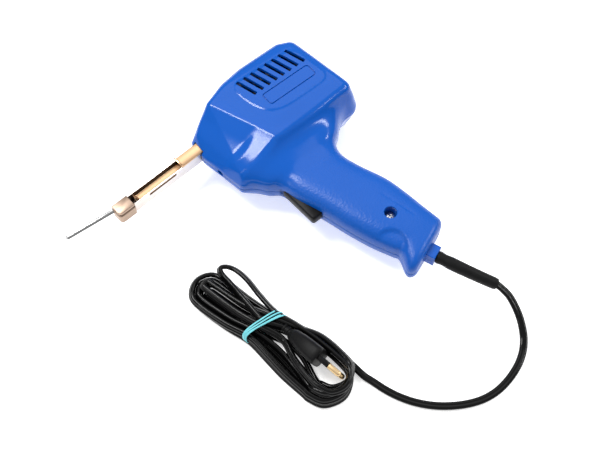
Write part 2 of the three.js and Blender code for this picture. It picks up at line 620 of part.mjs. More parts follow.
const PLUG_FACE = 47;
const PLUG_BACK = 15;
const PLUG_HEIGHT = 15;
const plugRing = (x, halfWidth, halfHeight) => circle(0, 0, 1, 16).map(([u, w]) => {
  const bend = (value) => Math.sign(value) * Math.abs(value) ** 0.55;
  return new THREE.Vector3(x, PLUG_OFFSET + bend(u) * halfWidth, PLUG_HEIGHT + bend(w) * halfHeight);
});
add('plug_body', loft([
  plugRing(PLUG_BACK, 3.6, 4.4), plugRing(PLUG_BACK + 9, 5.2, 7.4), plugRing(PLUG_FACE - 12, 6.4, 12.2),
  plugRing(PLUG_FACE - 1.5, 6.7, 14.2), plugRing(PLUG_FACE, 6.2, 13.6),
]), cordBlack, hank);
[1, -1].forEach((side, i) => {
  const z = PLUG_HEIGHT + (side * PIN_SPACING) / 2;
  add(`plug_pin_${i + 1}`, barX(PLUG_FACE + GAP, PLUG_FACE + PLUG_PIN_LENGTH, PLUG_OFFSET, z,
    PLUG_PIN_RADIUS, 14), brass, hank);
});

// Rubber bands round the waist of the hank: flat closed rings.
const BAND_INNER = [15.5, HANK_BOTTOM - 0.4, HANK_TOP + 0.4];
[-2.6, 0.8].forEach((x, i) => {
  const [half, low, high] = BAND_INNER;
  const ring = (grow) => rectangle(-half - grow, half + grow, low - grow, high + grow);
  add(`rubber_band_${i + 1}`, plate(ring(BAND_SHEET), 0, BAND_WIDTH, [ring(0)])
    .rotateX(Math.PI / 2).rotateZ(Math.PI / 2).translate(x, 0, 0), teal, hank);
});

export default gun;
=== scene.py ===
import math

import bmesh
import bpy
import numpy as np
from mathutils import Matrix, Vector


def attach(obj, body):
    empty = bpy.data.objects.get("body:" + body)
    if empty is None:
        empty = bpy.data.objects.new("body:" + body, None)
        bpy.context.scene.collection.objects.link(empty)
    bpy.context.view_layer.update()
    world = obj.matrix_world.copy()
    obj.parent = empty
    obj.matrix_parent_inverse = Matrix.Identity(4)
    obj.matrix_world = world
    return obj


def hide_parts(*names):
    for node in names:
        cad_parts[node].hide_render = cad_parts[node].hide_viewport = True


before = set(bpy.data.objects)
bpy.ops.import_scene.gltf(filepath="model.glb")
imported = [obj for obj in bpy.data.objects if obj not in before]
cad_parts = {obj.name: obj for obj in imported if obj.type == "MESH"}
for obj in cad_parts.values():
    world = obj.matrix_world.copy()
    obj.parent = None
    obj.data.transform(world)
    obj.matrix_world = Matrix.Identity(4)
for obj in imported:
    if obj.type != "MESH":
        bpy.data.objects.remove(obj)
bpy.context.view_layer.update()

# ---------------------------------------------------------------- table and studio
# The gun lies on a plain white table top under broad soft lamps, and is looked down on from beyond
# the end of its barrel.

scene = bpy.context.scene
scene.view_settings.view_transform = "Standard"


class Tap:
    """One output in a material's node tree, written in sums like a number."""

    def __init__(self, tree, socket=None):
        self.tree = tree
        self.socket = socket

    def node(self, kind, settings=None, sockets=None, out=0):
        made = self.tree.nodes.new("ShaderNode" + kind)
        for name, value in (settings or {}).items():
            if name == "stops":
                while len(made.color_ramp.elements) < len(value):
                    made.color_ramp.elements.new(1.0)
                for element, (position, colour) in zip(made.color_ramp.elements, value):
                    element.position = position
                    element.color = (*colour, 1.0)
            else:
                setattr(made, name, value)
        for key, value in (sockets or {}).items():
            if isinstance(value, Tap):
                self.tree.links.new(value.socket, made.inputs[key])
            else:
                made.inputs[key].default_value = value
        return Tap(self.tree, made.outputs[out])

    def maths(self, operation, a, b=0.0):
        return self.node("Math", {"operation": operation}, {0: a, 1: b})

    def __add__(self, other):
        return self.maths("ADD", self, other)

    __radd__ = __add__

    def __mul__(self, other):
        return self.maths("MULTIPLY", self, other)

    __rmul__ = __mul__

    def __sub__(self, other):
        return self.maths("SUBTRACT", self, other)

    def __rsub__(self, other):
        return self.maths("SUBTRACT", other, self)

    def ramp(self, low, high):
        """0 below low, 1 above high, and a soft step between."""
        return self.node("MapRange", {"interpolation_type": "SMOOTHSTEP"},
                         {"Value": self, "From Min": low, "From Max": high})

    def blend(self, first, second):
        """Between two colours, by this value."""
        sockets = {0: self}
        for index, colour in ((6, first), (7, second)):
            sockets[index] = colour if isinstance(colour, Tap) else (*colour, 1.0)
        return self.node("Mix", {"data_type": "RGBA"}, sockets, out=2)


def new_finish(name, **constants):
    """A material with its Principled shader's fixed sockets set, and the start of its patterns."""
    made = bpy.data.materials.new(name)
    made.use_nodes = True
    shader = made.node_tree.nodes["Principled BSDF"]
    for socket, value in constants.items():
        shader.inputs[socket.replace("_", " ")].default_value = value
    start = Tap(made.node_tree)
    place = start.node("TexCoord", out="Object")
    return made, shader, start, place


def feed(shader, socket, tap):
    shader.id_data.links.new(tap.socket, shader.inputs[socket])


def grain(start, place, scale, detail=2.0, roughness=0.5):
    return start.node("TexNoise", None, {"Vector": place, "Scale": scale, "Detail": detail,
                                         "Roughness": roughness})


def bump(start, shader, height, strength, distance):
    feed(shader, "Normal", start.node("Bump", None, {"Height": height, "Strength": strength,
                                                     "Distance": distance}))


def mottled(name, first, second, scale, detail, roughness, relief=None, **constants):
    """A finish whose colour and roughness drift together over one grain.

    roughness is its lowest value and its span, and relief the strength and depth of its bump."""
    made, shader, start, place = new_finish(name, **constants)
    pattern = grain(start, place, scale, detail)
    feed(shader, "Base Color", pattern.blend(first, second))
    feed(shader, "Roughness", roughness[0] + roughness[1] * pattern)
    if relief:
        bump(start, shader, pattern, *relief)
    return made


TABLE_SIDE = 6.0
table_mesh = bpy.data.meshes.new("table")
half = TABLE_SIDE / 2
table_mesh.from_pydata([(-half, -half, 0), (half, -half, 0), (half, half, 0), (-half, half, 0)], [],
                       [(0, 1, 2, 3)])
table = bpy.data.objects.new("table", table_mesh)
scene.collection.objects.link(table)
table_white, shader, start, place = new_finish("table_white", Roughness=0.6, Emission_Strength=0.55)
cloth = grain(start, place, 3.0).blend((0.93, 0.93, 0.93), (0.95, 0.95, 0.945))
feed(shader, "Base Color", cloth)
feed(shader, "Emission Color", cloth)
table_mesh.materials.append(table_white)

world = bpy.data.worlds.new("studio")
world.use_nodes = True
scene.world = world
background = world.node_tree.nodes["Background"]
sky = Tap(world.node_tree)
height = sky.node("SeparateXYZ", None, {0: sky.node("TexCoord", out="Generated")}, out="Z")
feed(background, "Color", height.ramp(0.05, 0.75).blend((0.42, 0.43, 0.45), (1.0, 1.0, 1.0)))
background.inputs["Strength"].default_value = 0.6


def softbox(name, place_at, aim, size, power):
    light = bpy.data.lights.new(name, "AREA")
    light.shape = "RECTANGLE"
    light.size, light.size_y = size
    light.energy = power
    lamp = bpy.data.objects.new(name, light)
    lamp.location = place_at
    lamp.rotation_euler = (Vector(place_at) - Vector(aim)).to_track_quat("Z", "Y").to_euler()
    scene.collection.objects.link(lamp)


softbox("lamp_over", (0.32, 0.45, 0.9), (0, 0, 0), (1.0, 0.7), 2.8)
softbox("lamp_back", (-0.25, 0.42, 1.0), (0, 0, 0), (0.22, 0.45), 7.5)
softbox("lamp_left", (-0.95, 0.2, 0.75), (0, 0, 0), (0.06, 0.7), 1.2)
softbox("lamp_front", (0.75, -0.45, 0.7), (0, 0, 0), (0.5, 0.12), 4.0)

camera_data = bpy.data.cameras.new("camera")
camera_data.lens = 54.0
camera_data.sensor_width = 36.0
camera = bpy.data.objects.new("camera", camera_data)
camera.location = (-0.1741, -0.2434, 0.5906)
camera.rotation_euler = (math.radians(27.5), 0.0, math.radians(-40.3))
scene.collection.objects.link(camera)
scene.camera = camera

# ---------------------------------------------------------------- mains lead
# A flat two-core flex with a glossy black plastic sheath and a groove between its cores. From the
# sleeve it drops to the table, runs round in one loose arc, and is wound by hand into a long hank
# of six turns and a last raised loop, which ends in the plug.

GUN_ORIGIN = np.array([-4.03, 73.85, 28.0])   # the gun's own origin, in millimetres
CORE_RADIUS = 1.7
CORE_OFFSET = 1.05
HANK_LEAN = math.radians(58)       # how far the lead is turned on edge in the hank
LAID = 2.2 - 28


def placed(points):
    """The gun's millimetres to the frame's metres."""
    return (np.asarray(points, float) + GUN_ORIGIN) / 1000


def smooth_line(points, per_span):
    """A smooth curve through points of any dimension, with per_span steps between each two."""
    points = np.asarray(points, float)
    ends = [2 * points[0] - points[1]], [2 * points[-1] - points[-2]]
    padded = np.concatenate([ends[0], points, ends[1]])
    t = (np.arange(per_span) / per_span)[:, None]
    spans = []
    for a, b, c, d in zip(padded, padded[1:], padded[2:], padded[3:]):
        spans.append(0.5 * (2 * b + (c - a) * t + (2 * a - 5 * b + 4 * c - d) * t ** 2
                            + (3 * b - a - 3 * c + d) * t ** 3))
    return np.concatenate([*spans, points[-1:]])


def loft(rings, joined=False):
    """Points and faces of a skin over rings of equal count, capped or joined end to end."""
    rings = [np.asarray(ring, float) for ring in rings]
    count, rows = len(rings[0]), len(rings)
    faces = []
    for r in range(rows if joined else rows - 1):
        here, there = r * count, (r + 1) % rows * count
        faces += [(here + i, here + (i + 1) % count, there + (i + 1) % count, there + i)
                  for i in range(count)]
    if not joined:
        faces.append(tuple(range(count))[::-1])
        faces.append(tuple((rows - 1) * count + i for i in range(count)))
    return np.concatenate(rings), faces


def build(name, points, faces, finish, sharp=40.0):
    """A piece from points in the gun's millimetres, smooth but for edges sharper than sharp degrees."""
    mesh = bpy.data.meshes.new(name)
    mesh.from_pydata(placed(points).tolist(), [], [tuple(int(i) for i in f) for f in faces])
    mesh.validate()
    mesh.materials.append(finish)
    mesh.shade_smooth()
    for face in mesh.polygons:
        face.use_smooth = len(face.vertices) < 5
    mesh.set_sharp_from_angle(angle=math.radians(sharp))
    made = bpy.data.objects.new(name, mesh)
    scene.collection.objects.link(made)
    return made


def fitted(piece, body, slot, *nodes):
    """The piece rides on a body and stands for its CAD nodes, which are hidden; slot is not used."""
    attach(piece, body)
    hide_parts(*nodes)
    return piece


HANK_CENTRE = np.array([-45.0, -129.0, -28.0])
HANK_AXES = np.array([[0.133, -0.991, 0.0], [0.991, 0.133, 0.0], [0.0, 0.0, 1.0]])


def in_hank(points):
    """Along the hank, across it and up from the table, to the gun's millimetres."""
    return HANK_CENTRE + np.asarray(points, float) @ HANK_AXES


free_route = [
    (96.2, -209.5, -10.2), (97.8, -213.5, -11.9), (99.2, -218.6, -13.9), (99.9, -224.2, -16.1),
    (99, -230.5, -18.6), (96.9, -237.5, -21), (93.4, -244.6, -23.2), (88.6, -251.2, -24.9),
    (82.4, -256.6, -25.8), (75, -260.6, LAID), (66.6, -263.4, LAID), (57.4, -265.1, LAID),
    (47.8, -265.4, LAID), (38.2, -263.8, LAID), (29, -260.2, LAID), (20.2, -255, LAID),
    (12, -248.6, LAID), (4.8, -241.2, LAID), (-1.2, -233, LAID), (-5.9, -224.2, LAID),
    (-9.3, -215.2, LAID), (-11.6, -206.4, LAID),
]

# In the hank, x runs along it from the waist (0) to the plug's end (plus) and the far end (minus).
# One row a turn: its height, then across the hank at the plug's end, the waist and the far end,
# first on the side the lead comes in by and then on the other, the reach of its two ends, and how
# far it fills the middle beside the plug at two places.
TURNS = [
    (3.4, (22.6, 12.6, 5.8), (-15.2, -12.6, -17.2), (73.8, -56.2), (0.0, 0.0)),
    (3.4, (19.0, 8.6, 1.4), (-11.2, -8.6, -12.8), (72.4, -51.8), (1.8, 1.6)),
    (3.4, (17.0, 4.6, -3.0), (-2.8, -3.0, -8.4), (69.6, -47.2), (6.4, 6.6)),
    (8.7, (22.0, 11.4, 7.6), (-14.6, -11.6, -18.4), (73.0, -57.6), (0.4, 0.4)),
    (8.9, (18.6, 7.4, 2.8), (-10.6, -6.6, -13.8), (71.4, -53.0), (3.4, 4.0)),
    (13.6, (20.6, 7.6, -1.4), (-7.2, -2.4, -7.4), (72.2, -50.4), (5.8, 3.2)),
]
WAIST_LIFT = 1.2
OVER = 13.4                      # height of an end that passes over another


def hank_turn(turn, following, end_height):
    """The points of one turn: in along one side, round the far end, back, and round to the next."""
    height, near_side, far_side, (plug_end, far_end), fill = turn
    next_height, next_side = following
    side_in, waist_in, far_in = near_side
    side_out, waist_out, far_out = far_side
    bend = (far_in - far_out) / 2
    middle = (far_in + far_out) / 2
    centre = far_end + bend
    points = [(36, side_in, height), (18, 0.5 * (side_in + waist_in) - 0.6, height + WAIST_LIFT / 2),
              (0, waist_in, height + WAIST_LIFT), (-20, 0.35 * waist_in + 0.65 * far_in, height + 0.4)]
    for angle in (90, 135, 180, 225, 270):
        x = centre + bend * math.cos(math.radians(angle))
        points.append((x, middle + bend * math.sin(math.radians(angle)), height))
    points += [(-20, 0.35 * waist_out + 0.65 * far_out, height + 0.4),
               (0, waist_out, height + WAIST_LIFT),
               (18, 0.5 * (side_out + waist_out) + fill[0], height + WAIST_LIFT / 2),
               (34, side_out + fill[1], height), (52, side_out, height)]
    turn_bend = (next_side - side_out) / 2
    turn_middle = (next_side + side_out) / 2
    reach = 0.95 * turn_bend
    for angle, share in ((-90, 0.55), (-50, 0.9), (0, 1.0), (50, 0.9), (90, 0.55)):
        x = plug_end - reach + reach * math.cos(math.radians(angle))
        level = height if angle < 0 else next_height
        points.append((x, turn_middle + turn_bend * math.sin(math.radians(angle)),
                       level + share * (end_height - level)))
    return points


hank_route = [(74, 21.8, 2.4), (64, 22.3, 2.9), (50, 22.8, 3.4)]
ends_at = [3.4, 3.6, 8.4, 8.8, OVER, 14.4]
next_turns = [(t[0], t[1][0]) for t in TURNS[1:]] + [(14.3, 17.2)]
for turn, following, end_height in zip(TURNS, next_turns, ends_at):
    hank_route += hank_turn(turn, following, end_height)
hank_route += [
    (36, 17.2, 14.3), (18, 15.0, 14.8), (2, 12.2, 15.4), (-14, 14.0, 14.6), (-30, 17.4, 12.8),
    (-41, 17.6, 12.2), (-48, 15.0, 12.4), (-50.4, 10.9, 12.8), (-46, 8.0, 13.4), (-34, 6.2, 14.6),
    (-18, 3.4, 16.2), (0, 1.2, 16.4), (9, 4.8, 15.6), (15, 7.6, 15.0), (19, 7.8, 15.0),
]
route = np.concatenate([free_route, in_hank(hank_route)])
cord_line = smooth_line(route, 8)


def even_steps(line, step):
    lengths = np.concatenate([[0], np.cumsum(np.linalg.norm(np.diff(line, axis=0), axis=1))])
    at = np.linspace(0, lengths[-1], int(lengths[-1] / step) + 1)
    return np.stack([np.interp(at, lengths, line[:, k]) for k in range(3)], 1), at


cord_line, cord_at = even_steps(cord_line, 1.8)


def sweep(line, section, turn_angle, closed=False):
    """Rings of a section (sideways, upwards) carried along a line and turned by an angle about it."""
    ahead = np.roll(line, -1, axis=0) - np.roll(line, 1, axis=0)
    if not closed:
        ahead[0], ahead[-1] = line[1] - line[0], line[-1] - line[-2]
    ahead /= np.linalg.norm(ahead, axis=1)[:, None]
    side = np.cross([0.0, 0.0, 1.0], ahead)
    side /= np.linalg.norm(side, axis=1)[:, None]
    up = np.cross(ahead, side)
    angle = np.broadcast_to(turn_angle, len(line))[:, None]
    width_way = np.cos(angle) * side + np.sin(angle) * up
    thick_way = np.cos(angle) * up - np.sin(angle) * side
    section = np.asarray(section, float)
    return [c + section[:, :1] * w + section[:, 1:] * t
            for c, w, t in zip(line, width_way, thick_way)]


lobe = np.radians(np.linspace(-122, 122, 10))
right_core = np.stack([CORE_OFFSET + CORE_RADIUS * np.cos(lobe), CORE_RADIUS * np.sin(lobe)], 1)
cord_section = np.concatenate([right_core, -right_core])
free_length = np.linalg.norm(np.diff(smooth_line(free_route, 8), axis=0), axis=1).sum()
turning = np.clip((cord_at - free_length + 10) / 55, 0, 1)
turning = turning * turning * (3 - 2 * turning) * HANK_LEAN
cord_black, shader, start, place = new_finish("cord_black", Specular_IOR_Level=0.2)
patches = grain(start, place, 90.0, 3.0)
feed(shader, "Base Color", patches.blend((0.0012, 0.0012, 0.0012), (0.003, 0.003, 0.0033)))
feed(shader, "Roughness", 0.06 + 0.08 * patches)
bump(start, shader, grain(start, place, 700.0), 0.12, 0.0002)
points, faces = loft(sweep(cord_line, cord_section, turning))
cord = build("mains_lead", points, faces, cord_black, sharp=60)
fitted(cord, "gun", "cord_rubber", "cord", "cord_hank")

# ---------------------------------------------------------------- strain-relief sleeve
# A soft matt black rubber tube, pushed over the lead and held by a neck inside the split collar.
# It bends down with the lead and is cut off square.

BUTT_CENTRE = np.array([73.6, -167.5])
BUTT_AXIS = np.array([0.329, -0.944])


def butt_point(along, across=0.0, up=0.0):
    """Near the butt: along the way the lead leaves, across it, and up."""
    sideways = np.array([-BUTT_AXIS[1], BUTT_AXIS[0]])
    return np.array([*(BUTT_CENTRE + BUTT_AXIS * along + sideways * across), up])


sleeve_from, sleeve_bend, sleeve_to = butt_point(7.1), butt_point(26.8), np.array([97.2, -212.6, -11.4])
sleeve_rings, sleeve_radii = [], []
for t in np.linspace(0, 1, 36):
    sleeve_rings.append((1 - t) ** 2 * sleeve_from + 2 * t * (1 - t) * sleeve_bend + t * t * sleeve_to)
    pinch = 0.55 * math.exp(-((t - 0.13) / 0.08) ** 2)
    rim = 0.35 * max(0.0, 1 - t / 0.03) + 0.25 * max(0.0, (t - 0.985) / 0.015)
    sleeve_radii.append(4.7 - 0.45 * t - pinch - rim)
neck = [butt_point(a) for a in (-5, -3.4, -3.2, 0, 6.9)]
neck_radii = [3.8, 3.8, 3.0, 3.0, 3.0]
around = np.radians(np.arange(0, 360, 12))
unit_circle = np.stack([np.cos(around), np.sin(around)], 1)
sleeve_line = np.array(neck + sleeve_rings)
circles = [ring - c for c, ring in zip(sleeve_line, sweep(sleeve_line, unit_circle, 0.0))]
mouth = (sleeve_to - sleeve_bend) / np.linalg.norm(sleeve_to - sleeve_bend)
rings = [c + circle * r for c, circle, r in zip(sleeve_line, circles, neck_radii + sleeve_radii)]
rings += [sleeve_to + circles[-1] * 3.2, sleeve_to - mouth * 3 + circles[-1] * 2.8]
sleeve_black = mottled("sleeve_black", (0.003, 0.003, 0.003), (0.008, 0.008, 0.0085), 500.0, 3.0,
                       (0.45, 0.2), (0.25, 0.0003), Specular_IOR_Level=0.14)
points, faces = loft(rings)
sleeve = build("strain_relief_sleeve", points, faces, sleeve_black)
fitted(sleeve, "gun", "cord_rubber", "cord_sleeve")

# ---------------------------------------------------------------- plug
# A flat two-pin plug moulded onto the lead in satin black plastic, standing on its narrow side in
# the hank. Each pin is a brass rod, sleeved in black for half its length.

PLUG_OFFSET = 7.8
PLUG_HEIGHT = 15.4
PLUG_LEAN = math.radians(16)


def on_plug(x, sideways, upwards):
    """Points of the plug, which leans over a little in the hank."""
    c, s = math.cos(PLUG_LEAN), math.sin(PLUG_LEAN)
    return in_hank(np.stack([np.full(len(sideways), x), PLUG_OFFSET + sideways * c - upwards * s,
                             PLUG_HEIGHT + sideways * s + upwards * c], 1))


def superellipse(half_width, half_height, power, count=32):
    angle = 2 * np.pi * np.arange(count) / count
    c, s = np.cos(angle), np.sin(angle)
    return np.stack([half_width * np.sign(c) * np.abs(c) ** (2 / power),
                     half_height * np.sign(s) * np.abs(s) ** (2 / power)], 1)


plug_profile = [
    (13.5, 2.3, 3.2, 2.2), (14.0, 3.0, 3.8, 2.2), (15.2, 3.0, 3.8, 2.2), (15.6, 2.5, 3.3, 2.2),
    (16.8, 2.6, 3.5, 2.2), (17.2, 3.2, 4.2, 2.3), (18.4, 3.3, 4.4, 2.3), (18.8, 2.8, 3.9, 2.3),
    (20.0, 3.0, 4.2, 2.4), (20.4, 3.7, 5.2, 2.6), (23.5, 5.0, 7.0, 3.2), (30.0, 5.9, 10.4, 4.0),
    (36.0, 6.4, 12.6, 4.6), (43.0, 6.6, 13.9, 5.0), (45.8, 6.7, 14.1, 5.0), (46.6, 6.4, 13.8, 5.0),
    (47.0, 5.8, 13.2, 5.0),
]
rings = []
for x, half_width, half_height, power in plug_profile:
    oval = superellipse(half_width, half_height, power)
    rings.append(on_plug(x, oval[:, 0], oval[:, 1]))
plug_black = mottled("plug_black", (0.003, 0.003, 0.003), (0.007, 0.007, 0.0075), 900.0, 2.0,
                     (0.38, 0.14), (0.2, 0.0002), Specular_IOR_Level=0.12)
points, faces = loft(rings)
plug = build("plug_moulding", points, faces, plug_black)
fitted(plug, "gun", "cord_rubber", "plug_body")

pin_brass = mottled("pin_brass", (0.78, 0.52, 0.24), (0.92, 0.7, 0.42), 400.0, 4.0, (0.2, 0.22),
                    Metallic=1.0)
for index, side in enumerate((1, -1)):
    for part, profile, finish in (
        ("sleeve", [(46.8, 1.0), (46.8, 1.95), (56.2, 1.95), (56.6, 1.8), (56.6, 1.0)], plug_black),
        ("rod", [(56.3, 1.0), (56.3, 2.0), (64.4, 2.0), (65.2, 1.75), (65.8, 1.2), (66.0, 0.5)], pin_brass),
    ):
        rings = [on_plug(x, r * unit_circle[:, 0], side * 9.3 + r * unit_circle[:, 1]) for x, r in profile]
        points, faces = loft(rings)
        pin = build(f"plug_pin_{index + 1}_{part}", points, faces, finish)
        fitted(pin, "gun", "brass" if part == "rod" else "cord_rubber", f"plug_pin_{index + 1}")

# ---------------------------------------------------------------- rubber bands
# Two thin flat teal rubber bands, each stretched twice round the waist of the hank, so that their
# strands cross at a slant.

BAND_STRAND = (1.15, 0.8)
WAIST_HALF = 14.9
WAIST_LOW, WAIST_HIGH = 1.3, 19.2
band_teal = mottled("band_teal", (0.1, 0.5, 0.56), (0.22, 0.68, 0.74), 300.0, 4.0, (0.42, 0.25),
                    (0.15, 0.0003), Specular_IOR_Level=0.35)
for index, (offset, slant, spread) in enumerate(((0.4, 3.6, 1.5), (3.4, 4.8, 1.2))):
    angle = np.linspace(0, 4 * np.pi, 192, endpoint=False)
    outline = superellipse(1.0, 1.0, 3.2, 96)
    across = np.tile(outline[:, 0], 2) * (WAIST_HALF + 0.25 * np.cos(angle / 2))
    lift = 0.45 * (1 + np.cos(angle / 2 + index)) * (np.tile(outline[:, 1], 2) > 0)
    up = (WAIST_LOW + WAIST_HIGH) / 2 + np.tile(outline[:, 1], 2) * ((WAIST_HIGH - WAIST_LOW) / 2) + lift
    along = offset + slant * across / WAIST_HALF + spread * np.cos(angle / 2 + 0.7 * index)
    centres = np.stack([along, across, up], 1)
    ahead = np.roll(centres, -1, axis=0) - np.roll(centres, 1, axis=0)
    ahead /= np.linalg.norm(ahead, axis=1)[:, None]
    flat_way = np.array([1.0, 0.0, 0.0]) - ahead * ahead[:, :1]
    flat_way /= np.linalg.norm(flat_way, axis=1)[:, None]
    out_way = np.cross(ahead, flat_way)
    strip = superellipse(BAND_STRAND[0] / 2, BAND_STRAND[1] / 2, 4.0, 8)
    rings = [in_hank(c + strip[:, :1] * f + strip[:, 1:] * o)
             for c, f, o in zip(centres, flat_way, out_way)]
    points, faces = loft(rings, joined=True)
    band = build(f"band_{index + 1}", points, faces, band_teal)
    fitted(band, "gun", "band_rubber", f"rubber_band_{index + 1}")

# ---------------------------------------------------------------- casing
# Two glossy blue moulded halves that meet at a fine groove. The head is a blunt wedge with soft
# edges, a raised pad on its side and eight raked vent slots. The grip flares into it, is finely
# pebbled, has a dished finger rest near its beak, and ends in a split square collar for the lead.

HEAD_CORNERS = [
    (26.5, 13, 22.5, 5), (45, 17.8, 20.3, 7.2), (62, 19.9, 19.5, 8), (96, 19.9, 19.5, 8),
    (44.5, -37.5, 24.4, 3.1), (102.5, 16.5, 19.5, 8), (109.5, -34.5, 20.5, 7),
    (8.0, 6.0, 9.3, 3), (12.6, -38.7, 9.3, 3), (3.8, 6.3, 3, 3), (3.0, -8.0, 3, 3.1),
    (9.6, -42.5, 3, 3.5), (24, 15, 0, 7), (62, 19.5, 0, 8.5), (104, 19, 0, 9),
    (110.3, -37, 0, 10.2),
]
GRIP_STATIONS = [
    (10, -44, 104, -40, 20), (18.5, -57.2, 90.5, -54.5, 16.5), (26, -64.5, 81.2, -62, 15.3),
    (30, -79.5, 77.8, -73, 15), (36.6, -99.4, 81.5, -88, 15), (41.8, -119.8, 88.8, -108, 15),
    (47.4, -137.2, 91.8, -125.7, 14.8), (53.7, -152, 93.4, -142, 14.3),
    (55.8, -157.5, 94.4, -149.5, 14), (51.4, -169, 95.4, -156.5, 13.4),
    (53.2, -174.6, 94.6, -160.2, 12.4),
]
GRIP_POWER = 3.2
WALL = 2.4
HOLLOW_END = -150                  # the grip is solid past here, but for the lead's bore
REST_CENTRE, REST_WAY = (53.0, -150.2), (0.433, -0.901)
REST_HALF, REST_DEPTH = (12, 12.5), 1.7
CREASE_FROM, CREASE_TO, CREASE_DEPTH = (74.2, -117.2), (80.6, -143.5), 0.5
PAD = [(44.5, 15), (43.5, -1), (50, -19), (57, -26), (67, -27.5), (107, -25), (103, 13)]


def head_planes(segments):
    """The planes that bound the hull of the head's corner balls."""
    shell = bmesh.new()
    for x, y, z, radius in HEAD_CORNERS:
        for side in ((1, -1) if z else (1,)):
            for ring in range(segments // 2 + 1):
                tilt = math.pi * ring / (segments // 2)
                count = segments if 0 < ring < segments // 2 else 1
                for step in range(count):
                    turn = 2 * math.pi * step / segments
                    shell.verts.new((x + radius * math.sin(tilt) * math.cos(turn),
                                     y + radius * math.sin(tilt) * math.sin(turn),
                                     z * side + radius * math.cos(tilt)))
    bmesh.ops.convex_hull(shell, input=shell.verts)
    shell.normal_update()
    middle = Vector((60, -10, 0))
    planes = set()
    for face in shell.faces:
        normal = face.normal
        if 2 * face.calc_area() / max(edge.calc_length() for edge in face.edges) < 0.04:
            continue                       # too thin to give a true plane
        offset = normal.dot(face.verts[0].co)
        if normal.dot(middle) > offset:
            normal, offset = -normal, -offset
        planes.add((round(normal.x, 5), round(normal.y, 5), round(normal.z, 5), round(offset, 4)))
    shell.free()
    planes = np.array(sorted(planes), np.float32)
    return planes[:, :3].T.copy(), planes[:, 3].copy()


def head_distance(points, planes):
    normals, offsets = planes
    points = points.astype(np.float32)
    return np.concatenate([(block @ normals - offsets).max(1)
                           for block in np.array_split(points, max(1, len(points) // 20000))])


station_line = smooth_line(GRIP_STATIONS, 6)
station_front, station_back = station_line[:, 0:2], station_line[:, 2:4]
station_across = station_back - station_front
station_width = np.linalg.norm(station_across, axis=1)
station_down = np.stack([station_across[:, 1], -station_across[:, 0]], 1) / station_width[:, None]


def soft_max(a, b, reach):
    blend = np.maximum(reach - np.abs(a - b), 0) / reach
    return np.maximum(a, b) + blend * blend * reach / 4


def soft_step(value, low, high):
    t = np.clip((value - low) / (high - low), 0, 1)
    return t * t * (3 - 2 * t)


def grip_distance(points):
    """About how far a point is outside the grip, in its station's own rounded section."""
    x, y, z = points.T
    past = (x[:, None] * station_down[:, 0] + y[:, None] * station_down[:, 1]
            - (station_front * station_down).sum(1))
    row = np.clip((past > 0).sum(1) - 1, 0, len(station_line) - 2)
    pick = np.arange(len(x))
    here, there = past[pick, row], past[pick, row + 1]
    share = np.clip(here / np.where(np.abs(here - there) < 1e-6, 1e-6, here - there), 0, 1)[:, None]
    at = station_line[row] * (1 - share) + station_line[row + 1] * share
    across = at[:, 2:4] - at[:, 0:2]
    half = np.linalg.norm(across, axis=1) / 2
    centre = (at[:, 0:2] + at[:, 2:4]) / 2
    u = np.abs(((x - centre[:, 0]) * across[:, 0] + (y - centre[:, 1]) * across[:, 1]) / (2 * half * half))
    w = np.abs(z) / at[:, 4]
    size = np.maximum((u ** GRIP_POWER + w ** GRIP_POWER) ** (1 / GRIP_POWER), 1e-3)
    slope_u = (u / size) ** (GRIP_POWER - 1) / half
    slope_w = (w / size) ** (GRIP_POWER - 1) / at[:, 4]
    distance = (size - 1) / np.maximum(np.hypot(slope_u, slope_w), 0.02)
    distance = soft_max(distance, -past[:, 0] - 12, 4.0)
    return soft_max(distance, past[:, -1], 5.0)


def pad_rise(x, y):
    """How far the head's side stands out: a flat pad, a soft step and a slow fall beyond it."""
    corners = np.array(PAD, float)
    distance = np.full(x.shape, -1e3)
    for a, b in zip(corners, np.roll(corners, -1, axis=0)):
        ahead = (b - a) / np.linalg.norm(b - a)
        distance = soft_max(distance, (x - a[0]) * ahead[1] - (y - a[1]) * ahead[0], 9.0)
    return 0.5 - 0.8 * soft_step(distance, -1.4, 1.0) - 1.5 * soft_step(distance, 0, 13)


def casing_distance(points, planes):
    x, y, z = points.T
    side = np.abs(z)
    lowered = side - pad_rise(x, y) * soft_step(side, 12, 20)
    head = head_distance(np.stack([x, y, lowered], 1), planes)
    grip = grip_distance(points)
    joined = -soft_max(-head, -grip, 9.0)
    # the dished finger rest: straight along the grip's front, round behind
    from_rest_x, from_rest_y = x - REST_CENTRE[0], y - REST_CENTRE[1]
    along = from_rest_x * REST_WAY[0] + from_rest_y * REST_WAY[1]
    across = -from_rest_x * REST_WAY[1] + from_rest_y * REST_WAY[0]
    dish = 1 - soft_step(np.hypot(along / REST_HALF[0], across / REST_HALF[1]), 0.7, 1.0)
    joined = joined + REST_DEPTH * dish * soft_step(across, -0.7, 0.7) * soft_step(side, 8, 12.5)
    # a shallow crease that ends the pebbled side before the grip's smooth back
    run_x, run_y = CREASE_TO[0] - CREASE_FROM[0], CREASE_TO[1] - CREASE_FROM[1]
    from_crease_x, from_crease_y = x - CREASE_FROM[0], y - CREASE_FROM[1]
    share = np.clip((from_crease_x * run_x + from_crease_y * run_y) / (run_x ** 2 + run_y ** 2), 0, 1)
    beside = np.hypot(from_crease_x - run_x * share, from_crease_y - run_y * share)
    joined = joined + CREASE_DEPTH * (1 - soft_step(beside, 0, 1.6)) * soft_step(side, 6, 10)
    groove = 0.35 * np.clip(1 - side / 0.7, 0, 1)
    return joined + groove


